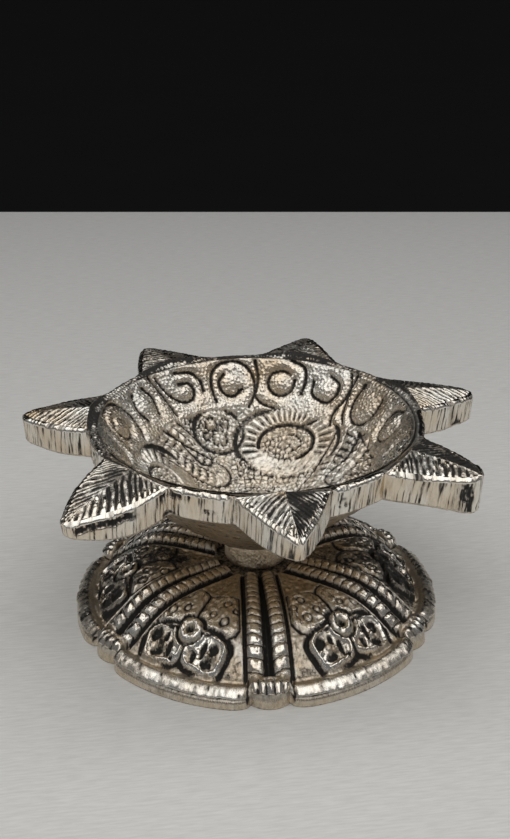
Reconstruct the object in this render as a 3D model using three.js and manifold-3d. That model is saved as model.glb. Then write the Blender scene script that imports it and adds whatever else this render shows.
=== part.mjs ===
// A small cast-metal diya: a seven-petalled star bowl for the oil and wick, a spacer collar,
// and a domed six-lobed foot with rope ribs, held together by one screw from beneath.
// Millimetres, +Z up. The part stands on z = 0 and one petal points to -Y.

import * as THREE from 'three';
import { mergeVertices } from 'three/addons/utils/BufferGeometryUtils.js';
import Module from 'manifold-3d';

// Star bowl
const petalCount = 7;
const mouthRadius = 23.4;        // inner edge of the rim
const rimWidth = 1.6;            // flat top of the rim between two petals
const petalLength = 11;          // rim to tip
const petalBaseWidth = 13;       // width of a petal where it leaves the rim
const petalBow = 0.25;           // bulge of a petal's edges
const petalDroop = 1.4;          // how much lower a tip lies than the rim
const ridgeRise = 0.9;           // midrib above the edges of its petal
const edgeBevel = 0.7;           // width of the polished bevel round a petal
const bevelDrop = 0.3;           // fall of that bevel
const veinsOnRim = 7;            // veins of one flank that start at the rim
const veinsOnRidge = 9;          // veins of one flank that start at the midrib
const veinHeight = 0.28;         // crest of a vein above its valleys
const edgeHeight = 4.4;          // height of the star's outer wall
const edgeDraft = 0.25;          // how far that wall leans in at the bottom
const undersideStep = 0.7;       // ledge between that wall and the bowl's outside
const bowlHeight = 18.7;         // collar's seat to the rim
const bowlFloorThickness = 4;    // metal between the bowl's floor and the collar
const bowlSeatRadius = 7;        // flat seat beneath the bowl
const bowlCurveOutside = 1.15;   // power of the outside's curve
const bowlCurveInside = 2.2;     // power of the inside's curve
const scrollCount = 16;          // scrolls in the border round the bowl's inside
const scrollTurn = -19.5;        // angle of the first scroll, in degrees
const scrollSize = 2.65;         // middle of a scroll's ring to the bead in it
const scrollDrop = 2.55;         // mouth to the circle of the beads, seen from above
const scrollRelief = 0.32;       // rings and beads above the bowl's inside, grooves below it
const fieldRelief = 0.3;         // medallions on the bowl's floor above it, the ground below it

// The petals were filed by hand, so each tip differs a little from a regular star. The first
// points to -Y and the others follow counter-clockwise. Turn is in degrees. Undercut is how far
// a petal's lower edge curves up at its tip, and bulge is added to the bow of its edges.
const petalFinish = [
  { turn: 0.5, reach: -0.8, rise: 0.4, rounding: 0.9, undercut: 1.5, bulge: 0 },
  { turn: 0.4, reach: -0.4, rise: 0.9, rounding: 3.2, undercut: -1.2, bulge: 0.1 },
  { turn: -1.3, reach: 0.2, rise: 0.1, rounding: 2.7, undercut: 0.6, bulge: 0.1 },
  { turn: 2.8, reach: 0.1, rise: 0.3, rounding: 1.5, undercut: 1.4, bulge: 0 },
  { turn: -2, reach: -0.1, rise: 0.2, rounding: 1.5, undercut: 1.4, bulge: 0 },
  { turn: -0.4, reach: -0.5, rise: 0.4, rounding: 2.5, undercut: 0.7, bulge: 0.3 },
  { turn: 0.8, reach: 1.4, rise: -1, rounding: 1.8, undercut: 2.3, bulge: 0.8 },
];

// Medallions of one third of the bowl's floor: middle, half sizes and tilt in degrees, laid flat
const medallions = [
  { x: 7.3, y: 11.8, halfX: 8.3, halfY: 6, tilt: -22 },
  { x: -4.3, y: 16.1, halfX: 4.2, halfY: 3.7, tilt: 5 },
  { x: -12.2, y: 10, halfX: 6, halfY: 2.6, tilt: -14 },
];

// Spacer collar
const collarHeight = 5.1;
const collarRadius = 5.1;
const collarRounding = 0.9;      // rounded edge at the foot, seen as a drawn-in lower rim

// Domed foot
const ribCount = 6;
const footHeight = 8.2;          // table to the collar's seat
const footTurn = -4.1;           // degrees that the foot is turned against the star
const lobeRadius = 28.4;         // foot's outside between two ribs
const nubSetback = 0.3;          // how far a rib's nub stands inside that circle
const nubHeight = 3.8;           // crown of a nub above the table
const nubRounding = 1.2;         // how far the sides of a nub fall back
const notchDepth = 1.2;          // notch beside each nub
const domeShoulder = 5;          // how sharply the dome's flat crown turns into its slope
const domeSlope = 1.9;           // how the slope runs out to the rim
const seatMargin = 0.4;          // flat seat round the collar
const footWeb = 2.6;             // thickness under the collar
const footWall = 2.2;            // thickness of the dome
const baseWidth = 3;             // width of the ring that the foot stands on
const bandWidth = 2.3;           // polished band round the rim
const bandRise = 1.2;            // crown of that band
const channelWidth = 1.1;        // smooth channel inside the band
const channelDepth = 0.3;
const edgeTop = 1.7;             // table to the lip line under the band
const lipDepth = 0.25;           // how deep the lip line is cut
const edgeLean = 0.3;            // how far the plain lower edge leans in
const strandWidth = 2.1;         // each strand of a rib's double rope at the collar
const strandWidthAtRim = 2.35;
const strandRise = 1;            // strand above the dome
const strandGap = 0.4;           // groove between the two strands at the collar
const strandGapAtRim = 1.5;      // the same groove at the rim
const grooveWidth = 0.9;         // groove along each side of a rib
const grooveDepth = 0.4;
const slotDepth = 1;             // groove between the strands where it reaches the rim
const ropePitch = 1.45;          // one turn of the rope
const ropeWaist = 0.35;          // how far the rope draws in between its turns
const ropeStart = 1.1;           // collar to the first turn
const panelGroove = 0.45;        // black groove round the lower lobes of a panel

// Raised forms on each half of a panel: middle across and along it from the axis, half sizes
// and height. The boss lies on the middle line.
const panelLobes = [
  { across: 3.35, along: 16.3, halfAcross: 3, halfAlong: 3.7, height: 0.4 },
  { across: 3.35, along: 22.45, halfAcross: 3.1, halfAlong: 2.35, height: 0.45 },
  { across: 0, along: 20.3, halfAcross: 1.75, halfAlong: 1.75, height: 0.7 },
];

// Fixing from beneath
const screwRadius = 2;
const screwClearance = 0.3;      // room round the screw and past its end
const screwEngagement = 2.4;     // length that reaches into the bowl
const screwHeadRadius = 3.8;
const screwHeadHeight = 2.2;
const screwHeadRounding = 0.8;
const screwSlotWidth = 1;
const screwSlotDepth = 1;
const washerRadius = 4.6;
const washerThickness = 0.8;
const drillPointHeight = 0.6;    // conical end of the tapped hole

// Facets
const baseSteps = 5;             // across half a petal's base, in the bowl
const rimSteps = 3;              // between two petals
const wallSteps = 10;            // along the lower side of a petal's edge
const straightShare = 0.8;       // share of those steps before the rounded tip
const bowlRings = 7;
const fieldSides = 48;           // round the bowl's floor inside the border
const fieldRings = 7;
const panelSteps = 8;            // across the foot between two ribs
const plainRows = 2;             // plain part of a panel beside the collar
const lobeRows = 10;             // part with the lobes
const hollowSides = 42;
const hollowRings = 5;
const roundSides = 24;

// Sizes that follow from the ones above
const notchRadius = mouthRadius + rimWidth;
const bowlSeatHeight = footHeight + collarHeight;
const rimHeight = bowlSeatHeight + bowlHeight;
const undersideHeight = rimHeight - edgeHeight;
const bowlTopRadius = notchRadius - edgeDraft - undersideStep;
const holeRadius = screwRadius + screwClearance;
const screwSeat = footHeight - footWeb;
const screwEnd = bowlSeatHeight + screwEngagement;
const footSeatRadius = collarRadius + seatMargin;
const ribStart = collarRadius + ropeStart;
const bandInner = lobeRadius - bandWidth;
const domeEnd = bandInner - channelWidth;
const domeEdgeHeight = edgeTop + bandRise / 2;
const nubHalf = strandGapAtRim / 2 + strandWidthAtRim;

const scrollCircle = mouthRadius - scrollDrop;
const scrollStep = 2 * Math.PI / scrollCount;
const firstScroll = scrollTurn * Math.PI / 180;
const sectorAngle = 2 * Math.PI / petalCount;
const baseHalfAngle = Math.asin(petalBaseWidth / 2 / notchRadius);
const rowsOnRim = 2 * veinsOnRim;
const rowsOnRidge = 2 * veinsOnRidge;
const rimShare = 0.36;           // share of a petal's edge that the rim's veins reach
const ribAngle = 2 * Math.PI / ribCount;

const mix = (a, b, t) => a + (b - a) * t;
const clamp01 = (t) => Math.min(1, Math.max(0, t));
const range = (steps) => Array.from({ length: steps + 1 }, (_, i) => i / steps);
const reversed = (line) => [...line].reverse();
const lastOf = (line) => line[line.length - 1];

// A point at a radius, at an angle counted from -Y towards +X, and at a height
function polar(radius, angle, z) {
  return new THREE.Vector3(radius * Math.sin(angle), -radius * Math.cos(angle), z);
}

const ring = (radius, z, angles) => angles.map((angle) => polar(radius, angle, z));
const fullTurn = (sides) => range(sides).map((t) => t * 2 * Math.PI);

// Collects triangles between lines of points and welds them into one closed surface. Lines run
// counter-clockwise seen from above and follow each other outwards on a face that looks up.
class Skin {
  constructor() {
    this.corners = [];
  }

  triangle(a, b, c) {
    const tiny = 1e-5;
    if (a.distanceTo(b) > tiny && b.distanceTo(c) > tiny && c.distanceTo(a) > tiny) {
      this.corners.push(a, b, c);
    }
  }

  // Joins two lines that run the same way, with any number of points in each
  zip(first, second) {
    let i = 0;
    let j = 0;
    while (i < first.length - 1 || j < second.length - 1) {
      const stepFirst = (i + 1) / (first.length - 1);
      const stepSecond = (j + 1) / (second.length - 1);
      const firstIsNext = j === second.length - 1 || (i < first.length - 1 && stepFirst <= stepSecond);
      if (firstIsNext) {
        this.triangle(first[i], second[j], first[i + 1]);
        i += 1;
      } else {
        this.triangle(first[i], second[j], second[j + 1]);
        j += 1;
      }
    }
  }

  // Joins each line to the next one
  grid(lines) {
    for (let i = 1; i < lines.length; i += 1) {
      this.zip(lines[i - 1], lines[i]);
    }
  }

  geometry() {
    const loose = new THREE.BufferGeometry().setFromPoints(this.corners);
    const welded = mergeVertices(loose, 1e-4);
    welded.computeVertexNormals();
    return welded;
  }
}

// Plan of one petal in its own frame, x along its middle line and y across it
function petalPlan(petal) {
  const { turn, reach, rise, rounding, undercut, bulge } = petalFinish[petal % petalFinish.length];
  const direction = new THREE.Vector2(1, 0).rotateAround(new THREE.Vector2(), turn * Math.PI / 180);
  const tipRadius = notchRadius + petalLength + reach;
  return {
    middle: petal * sectorAngle,
    apex: direction.clone().multiplyScalar(tipRadius),
    tipCentre: direction.clone().multiplyScalar(tipRadius - rounding),
    tipRadius,
    rounding,
    undercut,
    bow: petalBow + bulge,
    drop: petalDroop - rise,
  };
}

// Point on a petal's outline: t = 0 at the rim, 1 at the apex; side is -1 or 1
function petalEdge(plan, t, side) {
  const notch = new THREE.Vector2(notchRadius, 0).rotateAround(new THREE.Vector2(), side * baseHalfAngle);
  const toCentre = plan.tipCentre.clone().sub(notch);
  const distance = toCentre.length();
  const spread = side * Math.asin(plan.rounding / distance);
  const straight = toCentre.rotateAround(new THREE.Vector2(), spread)
    .setLength(Math.sqrt(distance ** 2 - plan.rounding ** 2));
  if (t < straightShare) {
    const share = t / straightShare;
    const outward = new THREE.Vector2(-straight.y, straight.x).setLength(side * plan.bow);
    return notch.add(straight.multiplyScalar(share)).add(outward.multiplyScalar(Math.sin(Math.PI * share)));
  }
  const tangent = notch.add(straight).sub(plan.tipCentre);
  const toApex = plan.apex.clone().sub(plan.tipCentre).angle() - tangent.angle();
  const sweep = Math.atan2(Math.sin(toApex), Math.cos(toApex)) * (t - straightShare) / (1 - straightShare);
  return tangent.rotateAround(new THREE.Vector2(), sweep).add(plan.tipCentre);
}

// How far out a point of a petal lies: 0 at the rim, 1 at the tip
function reachShare(plan, point) {
  return clamp01((point.length() - notchRadius) / (plan.tipRadius - notchRadius));
}

// How far a point of a petal has fallen below the rim
function droopAt(plan, point) {
  return plan.drop * reachShare(plan, point);
}

function onPetal(plan, point, z) {
  return polar(point.length(), plan.middle + point.angle(), z);
}

// Where a vein starts: first along the rim from the notch to the midrib, then along the midrib
function veinStart(plan, row, side) {
  if (row <= rowsOnRim) {
    const share = row / rowsOnRim;
    const point = new THREE.Vector2(notchRadius, 0)
      .rotateAround(new THREE.Vector2(), side * baseHalfAngle * (1 - share));
    return { point, lift: ridgeRise * share };
  }
  const share = (row - rowsOnRim) / rowsOnRidge;
  const point = new THREE.Vector2(notchRadius, 0).lerp(plan.apex, share);
  return { point, lift: ridgeRise * (1 - share ** 3) };
}

// Lines of one flank of a petal. Every second line is the crest of a vein, and each runs from
// its start out to the petal's edge and over the bevel.
function flankLines(plan, side) {
  const lines = [];
  for (let row = 0; row <= rowsOnRim + rowsOnRidge; row += 1) {
    const start = veinStart(plan, row, side);
    const edgeT = row <= rowsOnRim
      ? rimShare * row / rowsOnRim
      : mix(rimShare, 1, (row - rowsOnRim) / rowsOnRidge);
    const edge = petalEdge(plan, edgeT, side);
    const length = start.point.distanceTo(edge);
    const bevelStart = 1 - Math.min(0.45, edgeBevel / Math.max(length, edgeBevel));
    const crest = row % 2 === 1 ? veinHeight : 0;
    lines.push([0, 0.14, bevelStart, 1].map((t) => {
      const point = start.point.clone().lerp(edge, t);
      const onFlank = t > 0 && t < 1;
      const fall = t < 1 ? 0 : bevelDrop * clamp01(length / edgeBevel);
      const z = rimHeight - droopAt(plan, point) + start.lift * (1 - t) + (onFlank ? crest : 0) - fall;
      return onPetal(plan, point, z);
    }));
  }
  return lines;
}

// Lower line of a petal's wall, from the rim to the tip, where it curves up
function lowerEdge(plan, side) {
  return range(wallSteps).map((t) => {
    const edge = petalEdge(plan, t, side);
    const z = undersideHeight - droopAt(plan, edge)
      + plan.undercut * clamp01((reachShare(plan, edge) - 0.3) / 0.7) ** 2;
    return onPetal(plan, edge.setLength(edge.length() - edgeDraft), z);
  });
}

const bowlFloorHeight = () => bowlSeatHeight + bowlFloorThickness;

// Slope of the bowl's inside at a radius
function insideSlope(radius) {
  const rise = rimHeight - bowlFloorHeight();
  return bowlCurveInside * rise / mouthRadius * (radius / mouthRadius) ** (bowlCurveInside - 1);
}

// A point of the bowl's inside, lifted square to it
function insidePoint(radius, angle, lift) {
  const slope = insideSlope(radius);
  const lean = Math.hypot(slope, 1);
  const z = mix(bowlFloorHeight(), rimHeight, (radius / mouthRadius) ** bowlCurveInside);
  return polar(radius - lift * slope / lean, angle, z + lift / lean);
}

// Way along the bowl's inside from its middle out to a radius
function insideLength(radius) {
  const steps = 24;
  const width = radius / steps;
  let length = 0;
  for (let step = 0; step < steps; step += 1) {
    length += width * Math.hypot(insideSlope((step + 0.5) * width), 1);
  }
  return length;
}

// Relief of the border: a bead, a groove, a ring and the ground, by the distance from a bead
function scrollLift(angle, radius) {
  const turns = (angle - firstScroll) / scrollStep;
  const along = (turns - Math.round(turns)) * scrollStep * scrollCircle;
  const up = (radius - scrollCircle) * Math.hypot(insideSlope(scrollCircle), 1);
  const away = Math.min(1.5, Math.hypot(along, up) / scrollSize);
  return scrollRelief * Math.cos(2 * Math.PI * away);
}

// Relief of the bowl's floor: three sets of medallions and a rosette in the middle
function fieldLift(angle, radius) {
  const length = insideLength(radius);
  const place = new THREE.Vector2(length, 0).rotateAround(new THREE.Vector2(), angle - Math.PI / 2);
  const onRosette = length < 4.2;
  const onMedallion = [0, 1, 2].some((third) => medallions.some(({ x, y, halfX, halfY, tilt }) => {
    const local = place.clone().rotateAround(new THREE.Vector2(), -third * 2 * Math.PI / 3)
      .sub(new THREE.Vector2(x, y)).rotateAround(new THREE.Vector2(), -tilt * Math.PI / 180);
    return (local.x / halfX) ** 2 + (local.y / halfY) ** 2 < 0.9;
  }));
  return onRosette || onMedallion ? fieldRelief : -fieldRelief;
}

// Columns of the border, from beside the first bead all round
function scrollColumns() {
  const beside = scrollSize / scrollCircle;
  const rising = [beside / 2, beside, scrollStep / 2];
  const offsets = [...rising, scrollStep - beside, scrollStep - beside / 2, scrollStep];
  const columns = range(scrollCount - 1).flatMap((_, scroll) => (
    offsets.map((offset) => firstScroll + scroll * scrollStep + offset)
  ));
  return [...columns, columns[0] + 2 * Math.PI];
}

// The bowl's inside with its relief, up to the mouth
function addBowlInside(skin, mouth) {
  const columns = scrollColumns();
  const perLength = 1 / Math.hypot(insideSlope(scrollCircle), 1);
  const borderRadii = [-1.5, -1, -0.5, 0, 0.5, 1].map((q) => scrollCircle + q * scrollSize * perLength);
  const fieldRadii = range(fieldRings).slice(0, -1).map((t) => borderRadii[0] * t);
  const field = fullTurn(fieldSides).map((angle) => columns[0] + angle);
  const lines = fieldRadii.map((radius) => (
    field.map((angle) => insidePoint(radius, angle, radius > 0 ? fieldLift(angle, radius) : fieldRelief))
  ));
  for (const radius of borderRadii) {
    lines.push(columns.map((angle) => insidePoint(radius, angle, scrollLift(angle, radius))));
  }
  skin.grid([...lines, mouth]);
}

// Sections from under the rim down to the seat, and up the tapped hole to its drilled end
function bowlOutside() {
  const wall = range(bowlRings - 1).slice(1).map((t) => ({
    radius: mix(bowlTopRadius, bowlSeatRadius, t),
    z: mix(bowlSeatHeight, undersideHeight, (1 - t) ** bowlCurveOutside),
  }));
  const holeEnd = screwEnd + screwClearance;
  return [...wall,
    { radius: holeRadius, z: bowlSeatHeight },
    { radius: holeRadius, z: holeEnd },
    { radius: 0, z: holeEnd + drillPointHeight }];
}

// Columns behind a petal and along the rim beside it
function petalColumns(petal) {
  return range(2 * baseSteps).map((t) => petal * sectorAngle + baseHalfAngle * (2 * t - 1));
}

function rimColumns(petal) {
  const start = petal * sectorAngle + baseHalfAngle;
  const end = (petal + 1) * sectorAngle - baseHalfAngle;
  return range(rimSteps).map((t) => mix(start, end, t));
}

// One petal with the part of the rim that lies behind it
function addPetal(skin, petal) {
  const plan = petalPlan(petal);
  const angles = petalColumns(petal);
  const left = flankLines(plan, -1);
  const right = flankLines(plan, 1);
  skin.grid(left.map(reversed));
  skin.grid(right);

  const rimLine = [...left.slice(0, rowsOnRim + 1).map((line) => line[0]),
    ...reversed(right.slice(0, rowsOnRim).map((line) => line[0]))];
  const lowerLeft = lowerEdge(plan, -1);
  const lowerRight = reversed(lowerEdge(plan, 1));
  skin.zip(ring(mouthRadius, rimHeight, angles), rimLine);
  skin.zip(left.map(lastOf), lowerLeft);
  skin.zip(reversed(right.map(lastOf)), lowerRight);
  skin.zip([...lowerLeft, ...lowerRight], ring(bowlTopRadius, undersideHeight, angles));
}

// The rim between two petals
function addRim(skin, petal) {
  const angles = rimColumns(petal);
  skin.grid([
    ring(mouthRadius, rimHeight, angles),
    ring(notchRadius, rimHeight, angles),
    ring(notchRadius - edgeDraft, undersideHeight, angles),
    ring(bowlTopRadius, undersideHeight, angles),
  ]);
}

function starBowl() {
  const skin = new Skin();
  const around = [];
  for (let petal = 0; petal < petalCount; petal += 1) {
    addPetal(skin, petal);
    addRim(skin, petal);
    around.push(...petalColumns(petal).slice(0, -1), ...rimColumns(petal).slice(0, -1));
  }
  around.push(around[0] + 2 * Math.PI);
  addBowlInside(skin, ring(mouthRadius, rimHeight, around));
  const sides = fullTurn(hollowSides).map((angle) => around[0] + angle);
  const outside = bowlOutside().map(({ radius, z }) => ring(radius, z, sides));
  skin.grid([ring(bowlTopRadius, undersideHeight, around), ...outside]);
  return skin.geometry();
}

// Height of the bare dome
function domeHeight(radius) {
  const share = clamp01((radius - footSeatRadius) / (bandInner - footSeatRadius));
  return mix(domeEdgeHeight, footHeight, (1 - share ** domeShoulder) ** domeSlope);
}

// Half of a rib's cross-section at one radius: offset from its middle and height over the dome
function ribSection(radius, rise) {
  const share = clamp01((radius - ribStart) / (domeEnd - ribStart));
  const inner = mix(strandGap, strandGapAtRim, share) / 2;
  const width = mix(strandWidth, strandWidthAtRim, share);
  const strand = range(3).map((t) => ({
    offset: inner + width * t,
    height: rise * Math.sqrt(1 - (2 * t - 1) ** 2),
  }));
  const outer = inner + width;
  const groove = rise > 0 ? -grooveDepth : 0;
  const slot = rise > 0 ? -mix(grooveDepth, slotDepth, share ** 2) : 0;
  return [
    { offset: 0, height: slot },
    ...strand,
    { offset: outer + grooveWidth / 2, height: groove },
    { offset: outer + grooveWidth, height: 0 },
  ];
}

// Both halves of a rib at one radius, from the clockwise side to the other
function wholeRib(radius, rise) {
  const half = ribSection(radius, rise);
  const mirrored = reversed(half.slice(1)).map(({ offset, height }) => ({ offset: -offset, height }));
  return [...mirrored, ...half];
}

// Rows of a rib: its blunt start, then a crest and a waist for each turn of the rope
function ribRows() {
  const turns = Math.max(1, Math.round((domeEnd - ribStart) / ropePitch));
  const rows = [{ radius: ribStart, rise: 0 }];
  for (let turn = 0; turn < turns; turn += 1) {
    rows.push({ radius: mix(ribStart, domeEnd, (turn + 0.5) / turns), rise: strandRise });
    rows.push({ radius: mix(ribStart, domeEnd, (turn + 1) / turns), rise: strandRise - ropeWaist });
  }
  return rows;
}

// Angle of a rib's column at a radius. Inside the rib's start the columns run to the axis.
function columnAngle(rib, offset, radius) {
  return rib * ribAngle + Math.asin(offset / Math.max(radius, ribStart));
}

// Angles of the columns strictly between a rib and the next one
function panelAngles(rib, radius) {
  const section = wholeRib(radius, 0);
  const start = columnAngle(rib, lastOf(section).offset, radius);
  const end = columnAngle(rib + 1, section[0].offset, radius);
  return range(panelSteps).slice(1, -1).map((t) => mix(start, end, t));
}

// All columns of the foot at a radius, each with its offset from the nearest rib or null
function footColumns(radius) {
  const columns = [];
  for (let rib = 0; rib < ribCount; rib += 1) {
    for (const { offset } of wholeRib(radius, 0)) {
      columns.push({ angle: columnAngle(rib, offset, radius), offset });
    }
    for (const angle of panelAngles(rib, radius)) {
      columns.push({ angle, offset: null });
    }
  }
  return [...columns, { ...columns[0], angle: columns[0].angle + 2 * Math.PI }];
}

// Outside radius of the foot at a column
function footOutline(offset) {
  if (offset === null) {
    return lobeRadius;
  }
  const across = Math.abs(offset) / nubHalf;
  if (across <= 1) {
    return lobeRadius - nubSetback - nubRounding * across ** 2;
  }
  const pastNotch = clamp01((Math.abs(offset) - nubHalf) / grooveWidth);
  return lobeRadius - mix(notchDepth, notchDepth / 2, pastNotch);
}

// Heights of the rim at a column, from the channel over the band to the table
function rimSections(offset) {
  const outline = footOutline(offset);
  const across = offset === null ? 2 : Math.abs(offset) / nubHalf;
  const nub = across < 1 ? Math.sqrt(1 - across ** 2) : 0;
  const groove = offset !== null && across > 0.99 && across < 1 + grooveWidth / nubHalf - 0.01;
  const sunk = groove ? grooveDepth : 0;
  const crown = edgeTop + bandRise;
  const sections = [
    { inward: bandWidth + channelWidth / 2, z: domeHeight(bandInner) + bandRise / 3 - channelDepth - sunk,
      nubZ: nubHeight },
    { inward: bandWidth, z: domeHeight(bandInner) - sunk, nubZ: nubHeight },
    { inward: bandWidth * 0.6, z: crown - sunk, nubZ: nubHeight * 0.97 },
    { inward: bandWidth * 0.25, z: mix(edgeTop, crown, 0.7) - sunk, nubZ: nubHeight * 0.85 },
    { inward: lipDepth / 2, z: mix(edgeTop, crown, 0.2) - sunk / 2, nubZ: nubHeight * 0.68 },
    { inward: lipDepth + edgeLean, z: edgeTop - sunk / 2, nubZ: nubHeight * 0.6 },
  ];
  const shaped = sections.map(({ inward, z, nubZ }) => (
    { radius: mix(outline, domeEnd, inward / (bandWidth + channelWidth)), z: mix(z, nubZ, nub) }
  ));
  return [...shaped, { radius: outline, z: 0 }];
}

// Relief of a panel at an angle from its middle line: lobes and a boss, with a groove round the
// lower lobes
function panelLift(angle, radius) {
  const across = Math.abs(radius * Math.sin(angle));
  const along = radius * Math.cos(angle);
  const within = panelLobes.map((lobe) => Math.hypot((across - lobe.across) / lobe.halfAcross,
    (along - lobe.along) / lobe.halfAlong));
  const lobe = within.findLastIndex((share) => share < 1);
  if (lobe >= 0) {
    return panelLobes[lobe].height;
  }
  const besideLowerLobes = within[1] < 1.3 || within[2] < 1.3;
  return besideLowerLobes ? -panelGroove : 0;
}

// Lines of one sixth of the dome, each from the collar out to the rim: first the columns of a
// rib, then those of the panel beside it
function domeLines(rib) {
  const rows = ribRows();
  const ribLines = wholeRib(ribStart, 0).map((_, column) => rows.map(({ radius, rise }) => {
    const { offset, height } = wholeRib(radius, rise)[column];
    return polar(radius, columnAngle(rib, offset, radius), domeHeight(radius) + height);
  }));
  const lobeStart = panelLobes[0].along - panelLobes[0].halfAlong;
  const panelRadii = [...range(plainRows).slice(0, -1).map((t) => mix(ribStart, lobeStart, t)),
    ...range(lobeRows).map((t) => mix(lobeStart, domeEnd, t))];
  const panelLines = range(panelSteps).slice(1, -1).map((_, column) => panelRadii.map((radius) => {
    const angle = panelAngles(rib, radius)[column];
    const lift = radius < domeEnd ? panelLift(angle - (rib + 0.5) * ribAngle, radius) : 0;
    return polar(radius, angle, domeHeight(radius) + lift);
  }));
  return [...ribLines, ...panelLines];
}

function domedFoot() {
  const skin = new Skin();
  const sides = fullTurn(hollowSides);
  const dome = range(ribCount - 1).flatMap((_, rib) => domeLines(rib));
  const closed = [...dome, dome[0]];
  skin.grid(closed.map(reversed));
  skin.grid([
    ring(holeRadius, footHeight, sides),
    ring(footSeatRadius, footHeight, sides),
    closed.map((line) => line[0]),
  ]);

  // Rim: the columns keep their offsets from the ribs, so the nubs keep their width
  const columns = footColumns(lobeRadius);
  const rimRings = rimSections(0).map((_, k) => columns.map(({ angle, offset }) => {
    const { radius, z } = rimSections(offset)[k];
    const slant = offset === null ? 0 : Math.asin(offset / radius) - Math.asin(offset / lobeRadius);
    return polar(radius, angle + slant, z);
  }));
  skin.grid([closed.map(lastOf), ...rimRings]);

  // Standing ring, hollow and screw hole
  const standing = lobeRadius - baseWidth;
  const hollowEdge = standing - edgeLean;
  const bossRadius = washerRadius + seatMargin;
  const hollow = range(hollowRings).map((t) => {
    const radius = mix(hollowEdge, bossRadius + seatMargin, t);
    return ring(radius, domeHeight(radius) - footWall, sides);
  });
  skin.grid([
    lastOf(rimRings),
    ring(standing, 0, sides),
    ...hollow,
    ring(bossRadius, screwSeat, sides),
    ring(holeRadius, screwSeat, sides),
    ring(holeRadius, footHeight, sides),
  ]);
  return skin.geometry();
}

// A turned piece from its closed profile of radius and height
function turned(profile, sides = roundSides) {
  const points = profile.map(([radius, z]) => new THREE.Vector2(radius, z));
  const lathe = new THREE.LatheGeometry(points, sides);
  lathe.rotateX(Math.PI / 2);
  return lathe;
}

function stemCollar() {
  const profile = [[holeRadius, footHeight]];
  for (const t of range(5)) {
    const turn = t * Math.PI / 2;
    profile.push([collarRadius - collarRounding * (1 - Math.sin(turn)),
      footHeight + collarRounding * (1 - Math.cos(turn))]);
  }
  profile.push([collarRadius, bowlSeatHeight], [holeRadius, bowlSeatHeight], [holeRadius, footHeight]);
  return turned(profile);
}

function washer() {
  const bottom = screwSeat - washerThickness;
  return turned([[holeRadius, bottom], [washerRadius, bottom], [washerRadius, screwSeat],
    [holeRadius, screwSeat], [holeRadius, bottom]]);
}

// Pan-head machine screw with a straight slot
function fixingScrew(wasm) {
  const headTop = screwSeat - washerThickness;
  const headBottom = headTop - screwHeadHeight;
  const profile = [[0, headBottom]];
  for (const t of range(4)) {
    const turn = t * Math.PI / 2;
    profile.push([screwHeadRadius - screwHeadRounding * (1 - Math.sin(turn)),
      headBottom + screwHeadRounding * (1 - Math.cos(turn))]);
  }
  const tipChamfer = screwRadius / 4;
  profile.push([screwHeadRadius, headTop], [screwRadius, headTop],
    [screwRadius, screwEnd - tipChamfer], [screwRadius - tipChamfer, screwEnd], [0, screwEnd]);
  const slot = new THREE.BoxGeometry(3 * screwHeadRadius, screwSlotWidth, 2 * screwSlotDepth);
  slot.translate(0, 0, headBottom);
  return fromSolid(toSolid(wasm, turned(profile)).subtract(toSolid(wasm, slot)));
}

function toSolid(wasm, geometry) {
  const bare = geometry.clone();
  bare.deleteAttribute('normal');
  bare.deleteAttribute('uv');
  const welded = mergeVertices(bare, 1e-4);
  return new wasm.Manifold(new wasm.Mesh({
    numProp: 3,
    vertProperties: new Float32Array(welded.attributes.position.array),
    triVerts: new Uint32Array(welded.index.array),
  }));
}

function fromSolid(solid) {
  const { vertProperties, triVerts } = solid.getMesh();
  const geometry = new THREE.BufferGeometry();
  geometry.setAttribute('position', new THREE.BufferAttribute(vertProperties, 3));
  geometry.setIndex(new THREE.BufferAttribute(triVerts, 1));
  geometry.computeVertexNormals();
  return geometry;
}

function piece(name, geometry, material) {
  const mesh = new THREE.Mesh(geometry, new THREE.MeshStandardMaterial(material));
  mesh.name = name;
  return mesh;
}

const wasm = await Module();
wasm.setup();

const silverPlate = { color: 0xb9b1a3, roughness: 0.32, metalness: 1 };
const oxidisedSilver = { color: 0x9a9084, roughness: 0.38, metalness: 1 };
const brass = { color: 0xb08a52, roughness: 0.45, metalness: 1 };
const steel = { color: 0x8f9194, roughness: 0.35, metalness: 1 };

const star = piece('star_bowl', starBowl(), silverPlate);
const foot = piece('domed_foot', domedFoot(), oxidisedSilver);
foot.rotation.z = footTurn * Math.PI / 180;

const diya = new THREE.Group();
diya.add(
  star,
  foot,
  piece('stem_collar', stemCollar(), brass),
  piece('washer', washer(), steel),
  piece('fixing_screw', fixingScrew(wasm), steel),
);

// The middle of the star's box stands on the origin, which the axis of an odd star does not
star.geometry.computeBoundingBox();
const middleOfStar = star.geometry.boundingBox.getCenter(new THREE.Vector3());
diya.position.set(-middleOfStar.x, -middleOfStar.y, 0);

export default diya;
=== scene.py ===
import itertools
import math

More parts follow.
